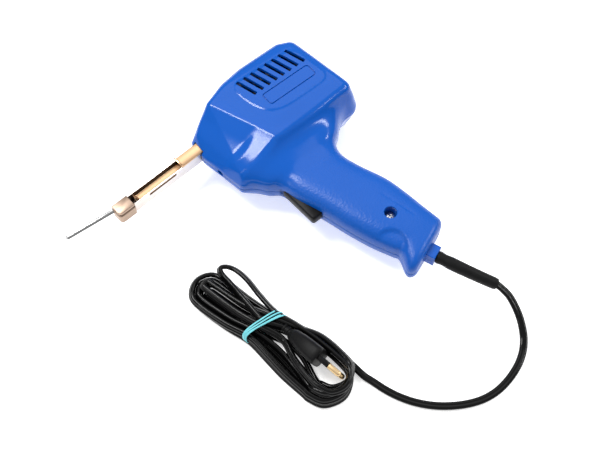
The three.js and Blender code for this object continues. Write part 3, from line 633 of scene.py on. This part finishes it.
def cells_skin(values, axes):
    """Quads on the zero level of values on a grid, one vertex in each cell that it crosses."""
    inside = values < 0
    total = np.zeros((*(n - 1 for n in values.shape), 3))
    count = np.zeros(total.shape[:3], int)
    quads = []
    for axis in range(3):
        low, high = [slice(None)] * 3, [slice(None)] * 3
        low[axis], high[axis] = slice(0, -1), slice(1, None)
        low, high = tuple(low), tuple(high)
        where = np.nonzero(inside[low] != inside[high])
        first, second = values[low][where], values[high][where]
        at = np.stack([axes[k][where[k]] for k in range(3)], 1)
        gap = axes[axis][where[axis] + 1] - axes[axis][where[axis]]
        at[:, axis] += gap * first / (first - second)
        others = [k for k in range(3) if k != axis]
        corners = []
        for step_a, step_b in ((0, 0), (1, 0), (1, 1), (0, 1)):
            cell = [w.copy() for w in where]
            cell[others[0]] -= step_a
            cell[others[1]] -= step_b
            np.add.at(total, tuple(cell), at)
            np.add.at(count, tuple(cell), 1)
            corners.append(np.ravel_multi_index(cell, count.shape))
        quad = np.stack(corners, 1)
        turned = (first < 0) if axis == 1 else (first >= 0)
        quad[turned] = quad[turned][:, ::-1]
        quads.append(quad)
    used = np.nonzero(count.ravel())[0]
    number = np.full(count.size, -1)
    number[used] = np.arange(len(used))
    return total.reshape(-1, 3)[used] / count.ravel()[used][:, None], number[np.concatenate(quads)]


def settle(points, distance):
    """Moves points onto the zero level of a distance."""
    reach = 0.05
    for _ in range(2):
        slope = np.stack([(distance(points + reach * axis) - distance(points - reach * axis)) / (2 * reach)
                          for axis in np.eye(3)], 1)
        size = np.maximum((slope * slope).sum(1), 0.25)
        points = points - slope * (distance(points) / size)[:, None]
    return points


STEP = 1.0
grid_x = np.arange(-6, 124, STEP)
grid_y = np.arange(-182, 33, STEP)
near_groove = [-3.4, -2.7, -2.0, -1.3, -0.8, -0.4, 0, 0.4, 0.8, 1.3, 2.0]
grid_z = np.concatenate([near_groove, np.arange(3, 31, STEP)])
axes = (grid_x, grid_y, grid_z)
coarse, fine = head_planes(12), head_planes(36)
grid = np.stack(np.meshgrid(*axes, indexing="ij"), -1).reshape(-1, 3)
values = casing_distance(grid, coarse)
close = np.abs(values) < 2.5
values[close] = casing_distance(grid[close], fine)
values = values.reshape([len(a) for a in axes])
up = np.broadcast_to(grid_z, values.shape)
down_grip = np.broadcast_to(grid_y[None, :, None], values.shape)
outer_points, outer_faces = cells_skin(np.maximum(values, -1.7 - up), axes)
skin_side = outer_points[:, 2] > -1.0
outer_points[skin_side] = settle(outer_points[skin_side], lambda p: casing_distance(p, fine))
hollow_values = np.maximum(np.maximum(values + WALL, -2.35 - up), HOLLOW_END - down_grip)
inner_points, inner_faces = cells_skin(hollow_values, axes)

casing_blue, shader, start, place = new_finish("casing_blue", Specular_IOR_Level=0.28)
spread_y = start.node("SeparateXYZ", None, {0: place}, out="Y")
on_grip = 1 - spread_y.ramp(-0.004, 0.014)
cloud = grain(start, place, 22.0, 3.0)
feed(shader, "Base Color", cloud.blend((0.001, 0.078, 0.40), (0.002, 0.090, 0.45)))
pebble = start.node("TexVoronoi", {"feature": "SMOOTH_F1"}, {"Vector": place, "Scale": 800.0})
peel = grain(start, place, 160.0, 1.0)
feed(shader, "Roughness", 0.12 + 0.05 * cloud + 0.2 * on_grip)
bump(start, shader, pebble * on_grip * 1.2 + peel * 0.2, 0.3, 0.0005)


def tool_shape(name, points, faces):
    return build(name, points, faces, casing_blue)


def cut(body, tool, operation="DIFFERENCE"):
    """Joins or cuts the body with a tool, which is used up."""
    step = body.modifiers.new("cut", "BOOLEAN")
    step.object = tool
    step.operation = operation
    step.solver = "MANIFOLD"
    bpy.context.view_layer.update()
    made = bpy.data.meshes.new_from_object(body.evaluated_get(bpy.context.evaluated_depsgraph_get()))
    body.modifiers.clear()
    body.data = made
    bpy.data.objects.remove(tool)


def filleted(outline, radius, steps=5):
    """An outline with each corner rounded; radius is one number or one for each corner."""
    outline = np.asarray(outline, float)
    radii = np.broadcast_to(radius, len(outline))
    points = []
    for before, corner, after, r in zip(np.roll(outline, 1, axis=0), outline,
                                        np.roll(outline, -1, axis=0), radii):
        a, b = before - corner, after - corner
        size_a, size_b = np.linalg.norm(a), np.linalg.norm(b)
        a, b = a / size_a, b / size_b
        half_angle = math.acos(max(-1.0, min(1.0, float(a @ b)))) / 2
        run = min(r / max(math.tan(half_angle), 1e-6), 0.48 * size_a, 0.48 * size_b)
        if r <= 0 or half_angle > 1.55:
            points.append(corner)
            continue
        for t in np.linspace(0, 1, steps):
            points.append((1 - t) ** 2 * (corner + a * run) + 2 * t * (1 - t) * corner
                          + t * t * (corner + b * run))
    return np.array(points)


def grown(outline, by):
    """An anticlockwise outline pushed outwards by a distance, or inwards if it is negative."""
    outline = np.asarray(outline, float)
    ahead = np.roll(outline, -1, axis=0) - outline
    ahead /= np.maximum(np.linalg.norm(ahead, axis=1), 1e-9)[:, None]
    normal = np.stack([ahead[:, 1], -ahead[:, 0]], 1)
    both = normal + np.roll(normal, 1, axis=0)
    size = np.maximum((both * both).sum(1) / 2, 0.3)
    return outline + both * (by / size)[:, None]


def stack(outline, levels):
    """Points and faces of a piece whose outline is pushed out by an amount at each level."""
    return loft([np.column_stack([grown(outline, by), np.full(len(outline), z)]) for z, by in levels])


def box_outline(x0, x1, y0, y1):
    return np.array([(x0, y0), (x1, y0), (x1, y1), (x0, y1)], float)


def round_outline(x, y, radius, count=40):
    angle = 2 * np.pi * np.arange(count) / count
    return np.stack([x + radius * np.cos(angle), y + radius * np.sin(angle)], 1)


def lying_along_x(points):
    """Turns a piece stacked along z so that it lies along x, its outline in y and z."""
    return points[:, [2, 0, 1]]


def row_tree():
    """Geometry nodes that repeat a shape in a straight row."""
    tree = bpy.data.node_groups.new("row of shapes", "GeometryNodeTree")
    face = tree.interface
    for label, kind in (("Shape", "Object"), ("Count", "Int"), ("Start", "Vector"), ("Step", "Vector"),
                        ("Finish", "Material")):
        face.new_socket(label, in_out="INPUT", socket_type="NodeSocket" + kind)
    face.new_socket("Geometry", in_out="OUTPUT", socket_type="NodeSocketGeometry")
    given, result = tree.nodes.new("NodeGroupInput"), tree.nodes.new("NodeGroupOutput")
    line = tree.nodes.new("GeometryNodeMeshLine")
    line.mode = "OFFSET"
    shape = tree.nodes.new("GeometryNodeObjectInfo")
    copies = tree.nodes.new("GeometryNodeInstanceOnPoints")
    real = tree.nodes.new("GeometryNodeRealizeInstances")
    painted = tree.nodes.new("GeometryNodeSetMaterial")
    for source, out, target, into in (
        (given, "Shape", shape, "Object"), (given, "Count", line, "Count"),
        (given, "Start", line, "Start Location"), (given, "Step", line, "Offset"),
        (line, "Mesh", copies, "Points"), (shape, "Geometry", copies, "Instance"),
        (copies, "Instances", real, "Geometry"), (real, "Geometry", painted, "Geometry"),
        (given, "Finish", painted, "Material"), (painted, "Geometry", result, "Geometry"),
    ):
        tree.links.new(source.outputs[out], target.inputs[into])
    return tree


ROW_TREE = row_tree()


def row_of(name, shape, count, first, step, finish, sharp=40.0):
    """A plain mesh of count copies of a shape; first and step are in the gun's millimetres."""
    host = bpy.data.objects.new(name + "_host", bpy.data.meshes.new(name + "_host"))
    scene.collection.objects.link(host)
    rule = host.modifiers.new("row", "NODES")
    rule.node_group = ROW_TREE
    given = {item.name: item.identifier for item in ROW_TREE.interface.items_tree
             if item.in_out == "INPUT"}
    rule[given["Shape"]] = shape
    rule[given["Count"]] = count
    rule[given["Start"]] = tuple(float(v) / 1000 for v in first)
    rule[given["Step"]] = tuple(float(v) / 1000 for v in step)
    rule[given["Finish"]] = finish
    bpy.context.view_layer.update()
    mesh = bpy.data.meshes.new_from_object(host.evaluated_get(bpy.context.evaluated_depsgraph_get()))
    bpy.data.objects.remove(host)
    bpy.data.objects.remove(shape)
    mesh.name = name
    mesh.shade_smooth()
    mesh.set_sharp_from_angle(angle=math.radians(sharp))
    made = bpy.data.objects.new(name, mesh)
    scene.collection.objects.link(made)
    return made


def slot_cutters(side):
    """The eight vent slots as one tool, each flared a little at its mouth."""
    length, width, rake = 17.8, 2.8, math.radians(-74.5)
    outline = filleted(box_outline(-length / 2, length / 2, -width / 2, width / 2), 0.45, 4)
    turn = np.array([[math.cos(rake), math.sin(rake)], [-math.sin(rake), math.cos(rake)]])
    outline = outline @ turn
    levels = [(20, 0), (27.75, 0), (28.15, 0.3), (31, 0.3)]
    if side < 0:
        levels = [(-z, by) for z, by in levels[::-1]]
    points, faces = stack(outline, levels)
    shape = tool_shape("slot", points - GUN_ORIGIN, faces)
    return row_of("slots", shape, 8, (52.9, 6.1, 0) + GUN_ORIGIN, (6.55, 0, 0), casing_blue)


SCREW_AT = (68.7, -132.7)
TRIGGER_PIVOT = (33.5, -68.5)
LAMP_AT = (0.0, -24.0)
for side, name in ((1, "upper"), (-1, "lower")):
    flip = np.array([1, 1, side])
    order = slice(None, None, side)
    half = build("casing_" + name, outer_points * flip, outer_faces[:, order], casing_blue)
    hollow = tool_shape("hollow", inner_points * flip, inner_faces[:, order])
    cut(half, hollow)
    posts = [(*TRIGGER_PIVOT, 3.2, 4.6, 10.6), (*SCREW_AT, 6.2 if side > 0 else 4.2, 0, 13.4)]
    for x, y, radius, z0, z1 in posts:
        levels = sorted([(side * z0, 0), (side * z1, 0)])
        cut(half, tool_shape("post", *stack(round_outline(x, y, radius), levels)), "UNION")
    collar = np.array([butt_point(a, c)[:2] for a, c in ((-4, -5.3), (6.8, -5.3), (6.8, 5.3), (-4, 5.3))])
    levels = sorted([(-1.5 * side, 0), (5.2 * side, 0), (5.6 * side, -0.4)])
    cut(half, tool_shape("collar", *stack(filleted(collar, 0.5, 4), levels)), "UNION")
    bore_line = np.array([butt_point(a) for a in (-12, 6.2, 6.9, 9)])
    bore = [c + (r - c) * radius for c, r, radius in
            zip(bore_line, sweep(bore_line, unit_circle, 0.0), (3.3, 3.3, 3.7, 3.7))]
    cut(half, tool_shape("bore", *loft(bore)))
    cut(half, slot_cutters(side))
    for outline, end in ((filleted(box_outline(-5.4, 5.4, -6.8, 7.0), 0.6, 4), 12),
                         (round_outline(LAMP_AT[1], LAMP_AT[0], 2.7), 18)):
        points, faces = stack(outline, [(-9, 0), (end, 0)])
        cut(half, tool_shape("nose_hole", lying_along_x(points), faces))
    slot = filleted([(17, -63.9), (34, -63.9), (46, -99.2), (20, -99.2)], 0.6, 4)
    cut(half, tool_shape("trigger_slot", *stack(slot, [(-4.4, 0), (4.4, 0)])))
    if side > 0:
        mouth = [(6.6, 0), (14.4, 0), (15.0, 0.45), (20, 0.45)]
        cut(half, tool_shape("counterbore", *stack(round_outline(*SCREW_AT, 4.5, 48), mouth)))
        cut(half, tool_shape("screw_hole", *stack(round_outline(*SCREW_AT, 1.9), [(-2, 0), (8, 0)])))
        label = filleted(box_outline(57.5, 100, -17, -6.5), 2.4, 7)
        rings = [np.column_stack([[wide, narrow, narrow, wide], [27.3, 27.3, 29, 29]])
                 for narrow, wide in zip(grown(label, -0.5), grown(label, 0.5))]
        cut(half, tool_shape("label", *loft(rings, joined=True)))
    below = stack(box_outline(-30, 150, -210, 60), sorted([(-40 * side, 0), (0.12 * side, 0)]))
    cut(half, tool_shape("other_half", *below))
    half.data.shade_smooth()
    half.data.set_sharp_from_angle(angle=math.radians(32))
    fitted(half, "gun", "casing", "housing_" + name)

# ---------------------------------------------------------------- casing screw
# One pan-head screw of bright steel with a cross recess, at the bottom of the counterbore in the
# grip. It pulls the two halves together.

steel_bright = mottled("steel_bright", (0.5, 0.5, 0.51), (0.72, 0.72, 0.73), 350.0, 4.0, (0.18, 0.2),
                       Metallic=1.0)
points, faces = stack(round_outline(*SCREW_AT, 3.8, 36), [(-9, -2.4), (6.9, -2.3), (6.9, 0), (8.0, 0),
                                                           (8.7, -0.5), (9.1, -1.4), (9.3, -2.6)])
screw = build("casing_screw", points, faces, steel_bright)
for length, width in ((4.2, 0.9), (0.9, 4.2)):
    recess = box_outline(SCREW_AT[0] - length / 2, SCREW_AT[0] + length / 2,
                         SCREW_AT[1] - width / 2, SCREW_AT[1] + width / 2)
    cut(screw, tool_shape("recess", *stack(recess, [(7.9, 0), (11, 0)])))
screw.data.set_sharp_from_angle(angle=math.radians(35))
fitted(screw, "gun", "steel", "handle_screw")

# ---------------------------------------------------------------- barrel
# A channel folded from nickel-plated sheet, browned by heat, that carries the heating current to
# the bit. A plate closes it by the nose and turns up at its end; a peach-coloured brass strip lies
# inside on a mica strip and turns up in front of the clamp.

ARM_TILT = math.radians(2.8)
ARM_DROP = -0.3
ARM_SHEET = 0.8


def on_arm(points):
    """The barrel's own millimetres to the gun's."""
    x, y, z = np.asarray(points, float).T
    c, s = math.cos(ARM_TILT), math.sin(ARM_TILT)
    return np.stack([x * c - y * s, x * s + y * c + ARM_DROP, z], 1)


def sheet_metal(name, pale, dark, browning, roughness, painted_shade):
    """Rolled sheet with fine lines along it, a brown bloom towards the bit, and painted shade in places.

    The last argument makes a value between 0 and 1 from the place along and across the barrel and its
    height; where it is 1, the sheet is darkened to dark brown as painted shade."""
    made, shader, start, place = new_finish(name, Metallic=1.0)
    parts = [start.node("SeparateXYZ", None, {0: place}, out=axis) for axis in "XYZ"]
    along, height = parts[0], parts[2]
    origin_x, origin_y, _ = placed((0, ARM_DROP, 0))
    across = (parts[1] - origin_y) * math.cos(ARM_TILT) - (along - origin_x) * math.sin(ARM_TILT)
    rolled = start.node("Mapping", None, {"Vector": place, "Scale": (60.0, 1800.0, 1800.0)})
    lines = grain(start, rolled, 1.0, 2.0)
    cloud = grain(start, place, 130.0, 3.0)
    heat = (1 - along.ramp(-0.085, -0.03)) * browning + 0.35 * browning * cloud
    bright = heat.blend(lines.blend(pale, tuple(0.86 * v for v in pale)), dark)
    # The dark brown blended in here is painted shade.
    feed(shader, "Base Color", painted_shade(along, across, height).blend(bright, (0.05, 0.022, 0.012)))
    feed(shader, "Roughness", roughness + 0.16 * lines + 0.1 * cloud)
    bump(start, shader, lines, 0.06, 0.0001)
    return made


# Painted shade on the channel's inner walls, and in the long slit in its side wall.
def inside_walls(along, across, height):
    off_middle = across.maths("ABSOLUTE", across)
    walls = (1 - off_middle.ramp(0.00362, 0.00374)) * height.ramp(0.0226, 0.0232)
    slit_height = height.ramp(0.0295, 0.0297) * (1 - height.ramp(0.0320, 0.0322))
    slit_length = along.ramp(-0.0517, -0.0512) * (1 - along.ramp(-0.0273, -0.0268))
    slit_side = 1 - across.ramp(-0.0036, -0.0034)
    return walls.maths("MAXIMUM", walls * 0.85, slit_height * slit_side * slit_length)


# Painted shade on the strip's turned-up end in front of the clamp.
def bent_end(along, across, height):
    return (1 - along.ramp(-0.0606, -0.0592)) * 0.9


# Painted shade in the clamp's recessed seam below its top fold.
def seam(along, across, height):
    return height.ramp(0.0299, 0.0302) * (1 - height.ramp(0.0314, 0.0317))


plated = sheet_metal("plated_sheet", (0.78, 0.74, 0.72), (0.45, 0.31, 0.22), 0.35, 0.2, inside_walls)
peach = sheet_metal("peach_brass", (0.80, 0.53, 0.31), (0.60, 0.36, 0.2), 0.3, 0.24, bent_end)
scorched = sheet_metal("clamp_sheet", (0.46, 0.35, 0.27), (0.34, 0.23, 0.17), 0.4, 0.32, seam)


def sheet_profile(path, thickness):
    """The outline of a bent strip of sheet along a path."""
    path = np.asarray(path, float)
    ahead = np.gradient(path, axis=0)
    ahead /= np.linalg.norm(ahead, axis=1)[:, None]
    side = np.stack([-ahead[:, 1], ahead[:, 0]], 1) * thickness / 2
    return np.concatenate([path - side, (path + side)[::-1]])


def turn_faces_out(piece):
    shell = bmesh.new()
    shell.from_mesh(piece.data)
    bmesh.ops.recalc_face_normals(shell, faces=shell.faces)
    shell.to_mesh(piece.data)
    shell.free()


half_width, bottom, rim = 4.4, -6.0, 5.0
inside = half_width - ARM_SHEET
channel_outline = filleted([
    (-half_width, bottom), (half_width, bottom), (half_width, rim), (inside, rim),
    (inside, bottom + ARM_SHEET), (-inside, bottom + ARM_SHEET), (-inside, rim), (-half_width, rim),
], [0.9, 0.9, 0.2, 0.2, 0.3, 0.3, 0.2, 0.2], 5)
points, faces = stack(channel_outline, [(-61.0, -0.12), (-60.85, 0), (12, 0)])
channel = build("barrel_channel", on_arm(lying_along_x(points)), faces, plated)
slit = filleted(box_outline(-47, -23.5, 1.8, 3.9), 0.4, 4)
points, faces = stack(slit, [(-6, 0.3), (-4.7, 0.3), (-4.35, 0), (-3, 0)])
cut(channel, build("slit", on_arm(points[:, [0, 2, 1]]), [f[::-1] for f in faces], plated))
channel.data.set_sharp_from_angle(angle=math.radians(40))
fitted(channel, "gun", "nickel", "arm_channel")

curl = np.radians(np.linspace(0, 75, 7))
cover_path = [(12, 5.7), (0, 5.7), (-15.6, 5.7)]
cover_path += [(-15.6 - 1.5 * math.sin(a), 7.2 - 1.5 * math.cos(a)) for a in curl[1:]]
cover_path += [(-17.4, 8.3)]
strip_path = [(12, -0.2), (0, -0.2), (-54.4, -0.2)]
strip_path += [(-54.4 - 1.8 * math.sin(a), 1.6 - 1.8 * math.cos(a)) for a in curl[1:]]
strip_path += [(-57.2, 4.3)]
for name, path, thickness, width, finish, slot_name, node in (
    ("barrel_cover", cover_path, ARM_SHEET, half_width, peach, "brass", "arm_cover"),
    ("barrel_strip", strip_path, 1.1, 3.3, peach, "brass", "inner_conductor"),
):
    outline = sheet_profile(path, thickness)[::-1]
    points, faces = stack(outline, [(-width, -0.12), (-width + 0.15, 0), (width - 0.15, 0), (width, -0.12)])
    plate = build(name, on_arm(points[:, [0, 2, 1]]), faces, finish)
    turn_faces_out(plate)
    fitted(plate, "gun", slot_name, node)

# ---------------------------------------------------------------- bit clamp
# A cap folded from sheet over the barrel's end, browned by the heat, with one corner rounded off.
# Its top is a separate fold above a recessed seam darkened with painted shade, and a rivet below holds it.

clamp_from, clamp_to = -61.3, -74.8
clamp_outline = filleted([
    (clamp_from, 4.8), (clamp_to, 4.8), (clamp_to, -5.0), (clamp_from, -5.0),
], [0.3, 0.9, 3.6, 0.5], 8)
points, faces = stack(clamp_outline, [
    (-6.9, -0.4), (-6.6, -0.1), (-6.3, 0), (1.6, 0), (1.9, -0.3), (2.1, -1.1), (3.6, -1.1),
    (3.8, -0.4), (4.1, -0.1), (6.3, -0.1), (6.5, -0.25), (6.6, -0.5),
])
clamp = build("bit_clamp", on_arm(points), faces, scorched)
fitted(clamp, "gun", "nickel", "tip_clamp")

points, faces = stack(round_outline(-65.3, -0.2, 1.6, 24), [(-7.8, -0.7), (-7.6, -0.2), (-7.1, 0),
                                                             (-6.95, 0), (-6.95, -0.6), (-5.3, -0.6)])
rivet = build("clamp_rivet_head", on_arm(points), faces, steel_bright)
fitted(rivet, "gun", "steel", "clamp_rivet")

# ---------------------------------------------------------------- soldering bit
# A plain rod of tinned steel, pushed into the clamp beside its middle, its working end rounded.

bit_tinned, shader, start, place = new_finish("bit_tinned", Metallic=1.0)
tinning = grain(start, place, 260.0, 4.0)
bit_root, bit_end = np.array([-73.4, 4.4]), np.array([-112.0, 9.6])
bit_length = np.linalg.norm(bit_end - bit_root)
bit_way = (bit_end - bit_root) / bit_length
axis_from, axis_to = placed(on_arm([(*bit_root, 0), (*bit_end, 0)]))[:, :2]
axis_way = (axis_to - axis_from) / np.linalg.norm(axis_to - axis_from)
parts = [start.node("SeparateXYZ", None, {0: place}, out=axis) for axis in "XY"]
off_axis = (parts[1] - axis_from[1]) * axis_way[0] - (parts[0] - axis_from[0]) * axis_way[1]
# Painted shade: the rod's two sides, off its axis as seen from above, are darkened to near black.
painted_side_shade = off_axis.maths("ABSOLUTE", off_axis).ramp(0.0011, 0.0016)
bright_tin = tinning.blend((0.5, 0.5, 0.5), (0.62, 0.62, 0.62))
feed(shader, "Base Color", painted_side_shade.blend(bright_tin, (0.05, 0.05, 0.05)))
feed(shader, "Roughness", 0.1 + 0.1 * tinning)
bump(start, shader, tinning, 0.12, 0.0003)
rings = []
for along, radius in ((-7, 1.4), (-6.8, 1.6), (bit_length - 1.4, 1.6), (bit_length - 0.7, 1.42),
                      (bit_length - 0.25, 1.1), (bit_length, 0.6)):
    centre = bit_root + bit_way * along
    rings.append(on_arm([(centre[0] + bit_way[1] * c * radius, centre[1] - bit_way[0] * c * radius,
                          s * radius) for c, s in unit_circle]))
points, faces = loft(rings)
bit = build("soldering_rod", points, faces, bit_tinned)
turn_faces_out(bit)
fitted(bit, "gun", "steel", "soldering_bit")

# ---------------------------------------------------------------- trigger
# A narrow lever of satin black plastic with soft edges, hinged high in the grip's front and
# standing out most at its lower end.

trigger_black = mottled("trigger_black", (0.003, 0.003, 0.0035), (0.008, 0.008, 0.009), 600.0, 2.0,
                        (0.3, 0.12), (0.12, 0.0002), Specular_IOR_Level=0.1)
lever = filleted([(26.9, -65), (28.1, -98.3), (41.5, -98.1), (41.5, -76), (38, -65)],
                 [1.0, 2.6, 0.8, 1.0, 1.0], 7)
points, faces = stack(lever, [(-4, -0.9), (-3.75, -0.35), (-3.3, 0), (3.3, 0), (3.75, -0.35), (4, -0.9)])
trigger = build("trigger_lever", points, faces, trigger_black)
fitted(trigger, "trigger", "black_plastic", "trigger")

# ---------------------------------------------------------------- transformer
# A stack of varnished steel plates with two windows, a cream bobbin, many turns of copper wire and
# one heavy copper loop that runs out to the barrel. A strap and two screws hold it to the posts.

varnished = mottled("varnished_steel", (0.015, 0.014, 0.013), (0.04, 0.038, 0.035), 150.0, 3.0,
                    (0.35, 0.25), Metallic=0.8)
CORE = (76.0, -12.0)
sheet_outline = box_outline(CORE[0] - 27, CORE[0] + 27, CORE[1] - 20, CORE[1] + 20)
points, faces = stack(sheet_outline, [(-14, 0), (-13.1, 0)])
plate = tool_shape("plate", points, faces)
for side in (-1, 1):
    x0, x1 = sorted((CORE[0] + side * 7, CORE[0] + side * 18))
    points, faces = stack(box_outline(x0, x1, CORE[1] - 13, CORE[1] + 13), [(-15, 0), (-12, 0)])
    cut(plate, tool_shape("window", points, faces))
plate.data.transform(Matrix.Translation(Vector(-GUN_ORIGIN / 1000)))
core = row_of("core_plates", plate, 28, GUN_ORIGIN, (0, 0, 1.003), varnished, 30)
fitted(core, "gun", "laminations", "transformer_core")

copper_wire = mottled("copper_wire", (0.16, 0.055, 0.025), (0.28, 0.11, 0.05), 220.0, 3.0, (0.25, 0.2),
                      Metallic=1.0)
loop_outline = filleted(box_outline(-15.3, 15.3, -20.9, 20.9), 4.0, 6)
loop_line = np.column_stack([loop_outline, np.zeros(len(loop_outline))])
ahead = np.roll(loop_line, -1, axis=0) - np.roll(loop_line, 1, axis=0)
ahead /= np.linalg.norm(ahead, axis=1)[:, None]
outwards = np.cross(ahead, [0.0, 0.0, 1.0])
wire = superellipse(0.42, 0.42, 2.0, 8)
rings = [c + wire[:, :1] * o - np.array([[0, 0, 1.0]]) * wire[:, 1:] for c, o in zip(loop_line, outwards)]
points, faces = loft(rings, joined=True)
points = points[:, [0, 2, 1]] * np.array([1, -1, 1])
wire_turn = tool_shape("wire_turn", points - GUN_ORIGIN, faces)
coil = row_of("mains_winding", wire_turn, 16, np.array([CORE[0], -23.1, 0]) + GUN_ORIGIN, (0, 0.9, 0),
              copper_wire)
fitted(coil, "gun", "copper", "primary_winding")

# ---------------------------------------------------------------- small works inside
# Screws, strap, pins, spring, switch, wires, lamp and insulation: plain pieces as the frame has
# them, each in its own stuff, seen only through the slots and the lamp hole.

FINE_RELIEF = (0.1, 0.0002)
cream_board = mottled("cream_board", (0.62, 0.54, 0.38), (0.74, 0.67, 0.5), 300.0, 3.0, (0.45, 0.2),
                      FINE_RELIEF)
copper_bar = mottled("copper_bar", (0.6, 0.27, 0.15), (0.78, 0.42, 0.26), 120.0, 3.0, (0.28, 0.2),
                     FINE_RELIEF, Metallic=1.0)
black_moulding = mottled("black_moulding", (0.012, 0.012, 0.013), (0.026, 0.026, 0.028), 500.0, 3.0,
                         (0.4, 0.15), FINE_RELIEF)
brown_wire = mottled("brown_wire", (0.1, 0.035, 0.015), (0.15, 0.06, 0.03), 400.0, 3.0, (0.35, 0.15),
                     FINE_RELIEF)
blue_wire = mottled("blue_wire", (0.01, 0.06, 0.3), (0.02, 0.1, 0.4), 400.0, 3.0, (0.35, 0.15),
                    FINE_RELIEF)
lamp_glass = mottled("lamp_glass", (0.9, 0.88, 0.82), (0.96, 0.95, 0.9), 80.0, 3.0, (0.03, 0.05),
                     FINE_RELIEF, Transmission_Weight=0.85, IOR=1.5)
inner_finishes = {
    cream_board: ["mica_strip", "coil_bobbin", "switch_plunger"],
    copper_bar: ["tip_socket", "secondary_loop"],
    steel_bright: ["core_band", "core_screw_1", "core_screw_2", "trigger_pin", "trigger_spring",
                   "cable_clamp_screw_1", "cable_clamp_screw_2"],
    black_moulding: ["lamp_holder", "switch_body", "cable_clamp"],
    brown_wire: ["lead_live", "lead_switched"],
    blue_wire: ["lead_neutral"],
    lamp_glass: ["lamp_bulb"],
}
for finish, names in inner_finishes.items():
    for name in names:
        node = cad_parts[name]
        node.data.materials.clear()
        node.data.materials.append(finish)
